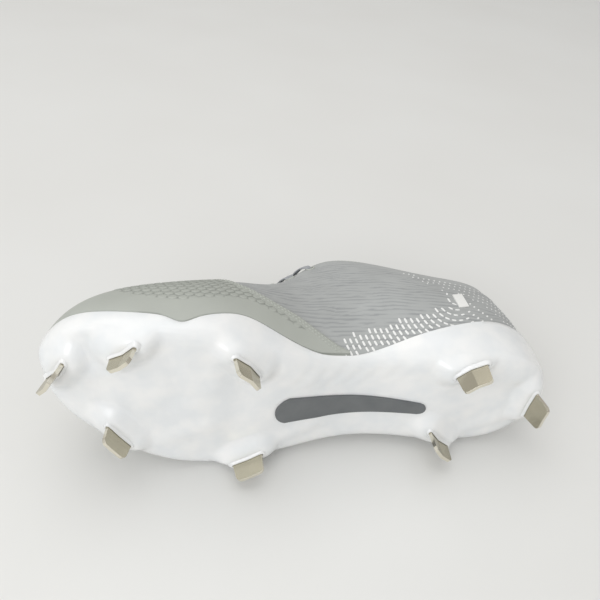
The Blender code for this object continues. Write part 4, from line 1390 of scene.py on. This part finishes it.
def throat_point(angle, across, distance):
    """A point on the bridge between the two throat edges, which runs on from the upper's own slope.

    across is -1 at the outer edge and 1 at the inner one, and distance is from the upper's surface.
    """
    left, right = (offset_upper(side * angle, 1.0, distance) for side in (-1, 1))
    span = np.linalg.norm(right - left, axis=-1, keepdims=True)
    left_way, right_way = (
        unit(upper_point(side * angle, 1.0) - upper_point(side * angle, 0.97)) * span / 3
        for side in (-1, 1))
    return cubic((across + 1) / 2, left, left + left_way, right + right_way, right)


def tongue_rows():
    """Cross sections of the tongue's outer face, from under the vamp to its free end."""
    rows = []
    for angle in np.radians(np.linspace(TONGUE_FIRST, TONGUE_LAST, 13)):
        depth = UPPER_WALL + 2 * CLEARANCE + float(PADDING(angle))
        row = [offset_upper(-angle, share, -depth) for share in (0.80, 0.90)]
        row += [throat_point(angle, across, -depth) for across in np.linspace(-1, 1, 7)]
        row += [offset_upper(angle, share, -depth) for share in (0.90, 0.80)]
        rows.append(np.array(row))
    last = rows[-1]
    middle = last[len(last) // 2]
    rise = TONGUE_TOP - middle[2]
    for part, narrow in ((0.22, 0.64), (0.55, 0.66), (0.88, 0.60), (1.0, 0.44)):
        shift = np.array([-0.75 * rise * part, 0.0, rise * part])
        rows.append((last - middle) * (narrow, narrow, 0.7 * narrow) + middle + shift)
    # The front end runs on under the vamp, a little lower, so that no gap shows past it.
    front = [rows[0] + (rows[0] - rows[2]) * part - (0.0, 0.0, TONGUE_DIP * part)
             for part in (1.0, 0.5)]
    return np.array(front + rows)


def add_tongue(surface):
    """The padded tongue under the laces."""
    face = tongue_rows()
    rows, columns = face.shape[:2]
    normal = unit(np.cross(np.gradient(face, axis=0), np.gradient(face, axis=1)))
    inward = normal if normal[0, columns // 2, 2] < 0 else -normal
    points, faces = slab(face, face + inward * TONGUE_THICKNESS)
    lengths = run_lengths(face[rows // 2]), run_lengths(face[:, columns // 2])
    spots = np.tile(np.stack(np.meshgrid(*lengths), axis=-1).reshape(-1, 2), (2, 1))
    tongue = add_piece("tongue_pad", points, faces, [surface], "tongue", ["tongue"], spots, sharp=80)
    round_it = tongue.modifiers.new("round", "SUBSURF")
    round_it.levels = 3
    round_it.render_levels = 3
    round_it.uv_smooth = "PRESERVE_BOUNDARIES"


EYELETS = np.radians(np.linspace(LACE_FIRST, LACE_LAST, EYELET_ROWS))


def lace_course(here, after, side, lift):
    """Centre line of one run of lace, out of an eyelet, over the throat and into the next row's."""
    ends = 1.0 + EYELET_FROM_EDGE / THROAT_HALF
    course = []
    for part in np.linspace(0, 1, 41):
        angle = here + (after - here) * part
        across = side * ends * (1 - 2 * part)
        sink = 1 - ease(min(part, 1 - part) / LACE_DIVE_SHARE)
        height = LACE_CLEARANCE + LACE_THICKNESS / 2 - LACE_DIVE * sink
        height += lift * math.sin(math.pi * part) ** 2
        over = max(0.0, abs(across) - 1.0) * THROAT_HALF / COLUMN_LENGTH
        if over > 0:
            course.append(offset_upper(math.copysign(angle, across), 1.0 - over, height))
        else:
            course.append(throat_point(angle, across, height))
    return np.array(course)


def add_lace(surface):
    """The flat lace: a bar over the lowest row, then a crossing between each row and the next."""
    runs = [lace_course(EYELETS[0], EYELETS[0], 1, 0.0)]
    for here, after in zip(EYELETS[:-1], EYELETS[1:]):
        runs.append(lace_course(here, after, 1, 0.0))
        runs.append(lace_course(here, after, -1, LACE_THICKNESS + LACE_LIFT))
    # A flat oval section, half as wide and half as thick as the lace.
    turns = np.linspace(0, FULL_TURN, 16, endpoint=False)
    across, thick = (
        np.sign(values) * np.abs(values) ** power * size / 2
        for values, power, size in (
            (np.cos(turns), 0.6, LACE_WIDTH), (np.sin(turns), 0.8, LACE_THICKNESS)))
    forward = unit(upper_point(EYELETS[0], 1.0) - upper_point(EYELETS[-1], 1.0))
    points = []
    spots = []
    for course in runs:
        way = unit(np.gradient(course, axis=0))
        sideways = unit(forward - way * (way @ forward)[:, None])
        up = np.cross(way, sideways)
        ring = course[:, None] + sideways[:, None] * across[:, None] + up[:, None] * thick[:, None]
        points.append(ring.reshape(-1, 3))
        spots.append(np.stack(np.meshgrid(across, run_lengths(course)), axis=-1).reshape(-1, 2))
    rows, columns = len(runs[0]), len(turns)
    caps = [list(range(columns)), list(range((rows - 1) * columns, rows * columns))]
    faces = repeated(grid_faces(rows, columns).tolist() + caps, rows * columns, len(runs))
    nodes = [f"lace_{number}" for number in range(1, EYELET_ROWS)]
    add_piece("lace_runs", np.concatenate(points), faces, [surface], "lace", nodes,
              np.concatenate(spots), sharp=60)


def add_eyelets(thread, dark):
    """A stitched bead around each punched eyelet, and a dark disc in it, painted as the shade inside
    the hole.
    """
    around_it = np.linspace(0, FULL_TURN, 28, endpoint=False)[:, None]
    section = np.linspace(0, FULL_TURN, 10, endpoint=False)
    beads = []
    holes = []
    for angle in EYELETS:
        for side in SIDES:
            share = 1 - EYELET_FROM_EDGE / COLUMN_LENGTH
            middle, way, normal = on_upper(side * angle, share, 0.0)
            out = np.cos(around_it) * way + np.sin(around_it) * np.cross(normal, way)
            beads += [middle + out * (EYELET_RADIUS + EYELET_BEAD * math.cos(turn))
                      + normal * (EYELET_BEAD_LIFT + EYELET_BEAD * math.sin(turn)) for turn in section]
            holes.append(middle + out * EYELET_RADIUS + normal * (RIPPLE_DEPTH + EYELET_HOLE_LIFT))
    round_it = len(around_it)
    faces = grid_faces(len(section), round_it, closed_rows=True).tolist()
    faces = repeated(faces, len(section) * round_it, len(holes))
    add_piece("eyelet_beads", np.concatenate(beads), faces, [thread], "upper", sharp=80)
    discs = repeated([range(round_it)], round_it, len(holes))
    # Each hole is a flat disc painted dark as shade.
    add_piece("eyelet_hole_shade_discs", np.concatenate(holes), discs, [dark], "upper")


add_camera()
add_surroundings()
PLASTIC = plate_plastic()
THREAD = print_ink("bonded polyester thread, pale grey", "b6b9b2")
add_plate(PLASTIC)
add_seat_lips(PLASTIC)
add_inlay(inlay_plastic())
add_blades(blade_steel(), edge_steel_with_painted_highlight())
add_upper(quarter_textile(),
          woven("knitted spacer lining, grey", "a3a5a8", "7f8184", 1.3, 0.0002, 0.85))
add_guard(guard_film())
add_dashes(print_ink("screen printed puff ink, white", "ececea"))
add_label(woven("woven satin ribbon, white", "fafaf8", "ecece9", 0.7, 0.00005, 0.5))
add_stitching(THREAD)
add_insole(woven("brushed tricot footbed, grey", "8f9294", "787b7d", 0.9, 0.0001, 0.9))
add_tongue(woven("padded mesh, cool grey", "b0b2b4", "8d8f92", 1.5, 0.00025, 0.8))
add_lace(woven("flat woven polyester lace", "bcbec1", "94969a", 0.8, 0.0002, 0.8))
# The eyelets' holes are painted dark as shade.
add_eyelets(THREAD, print_ink("shaded eyelet", "3c3e40"))
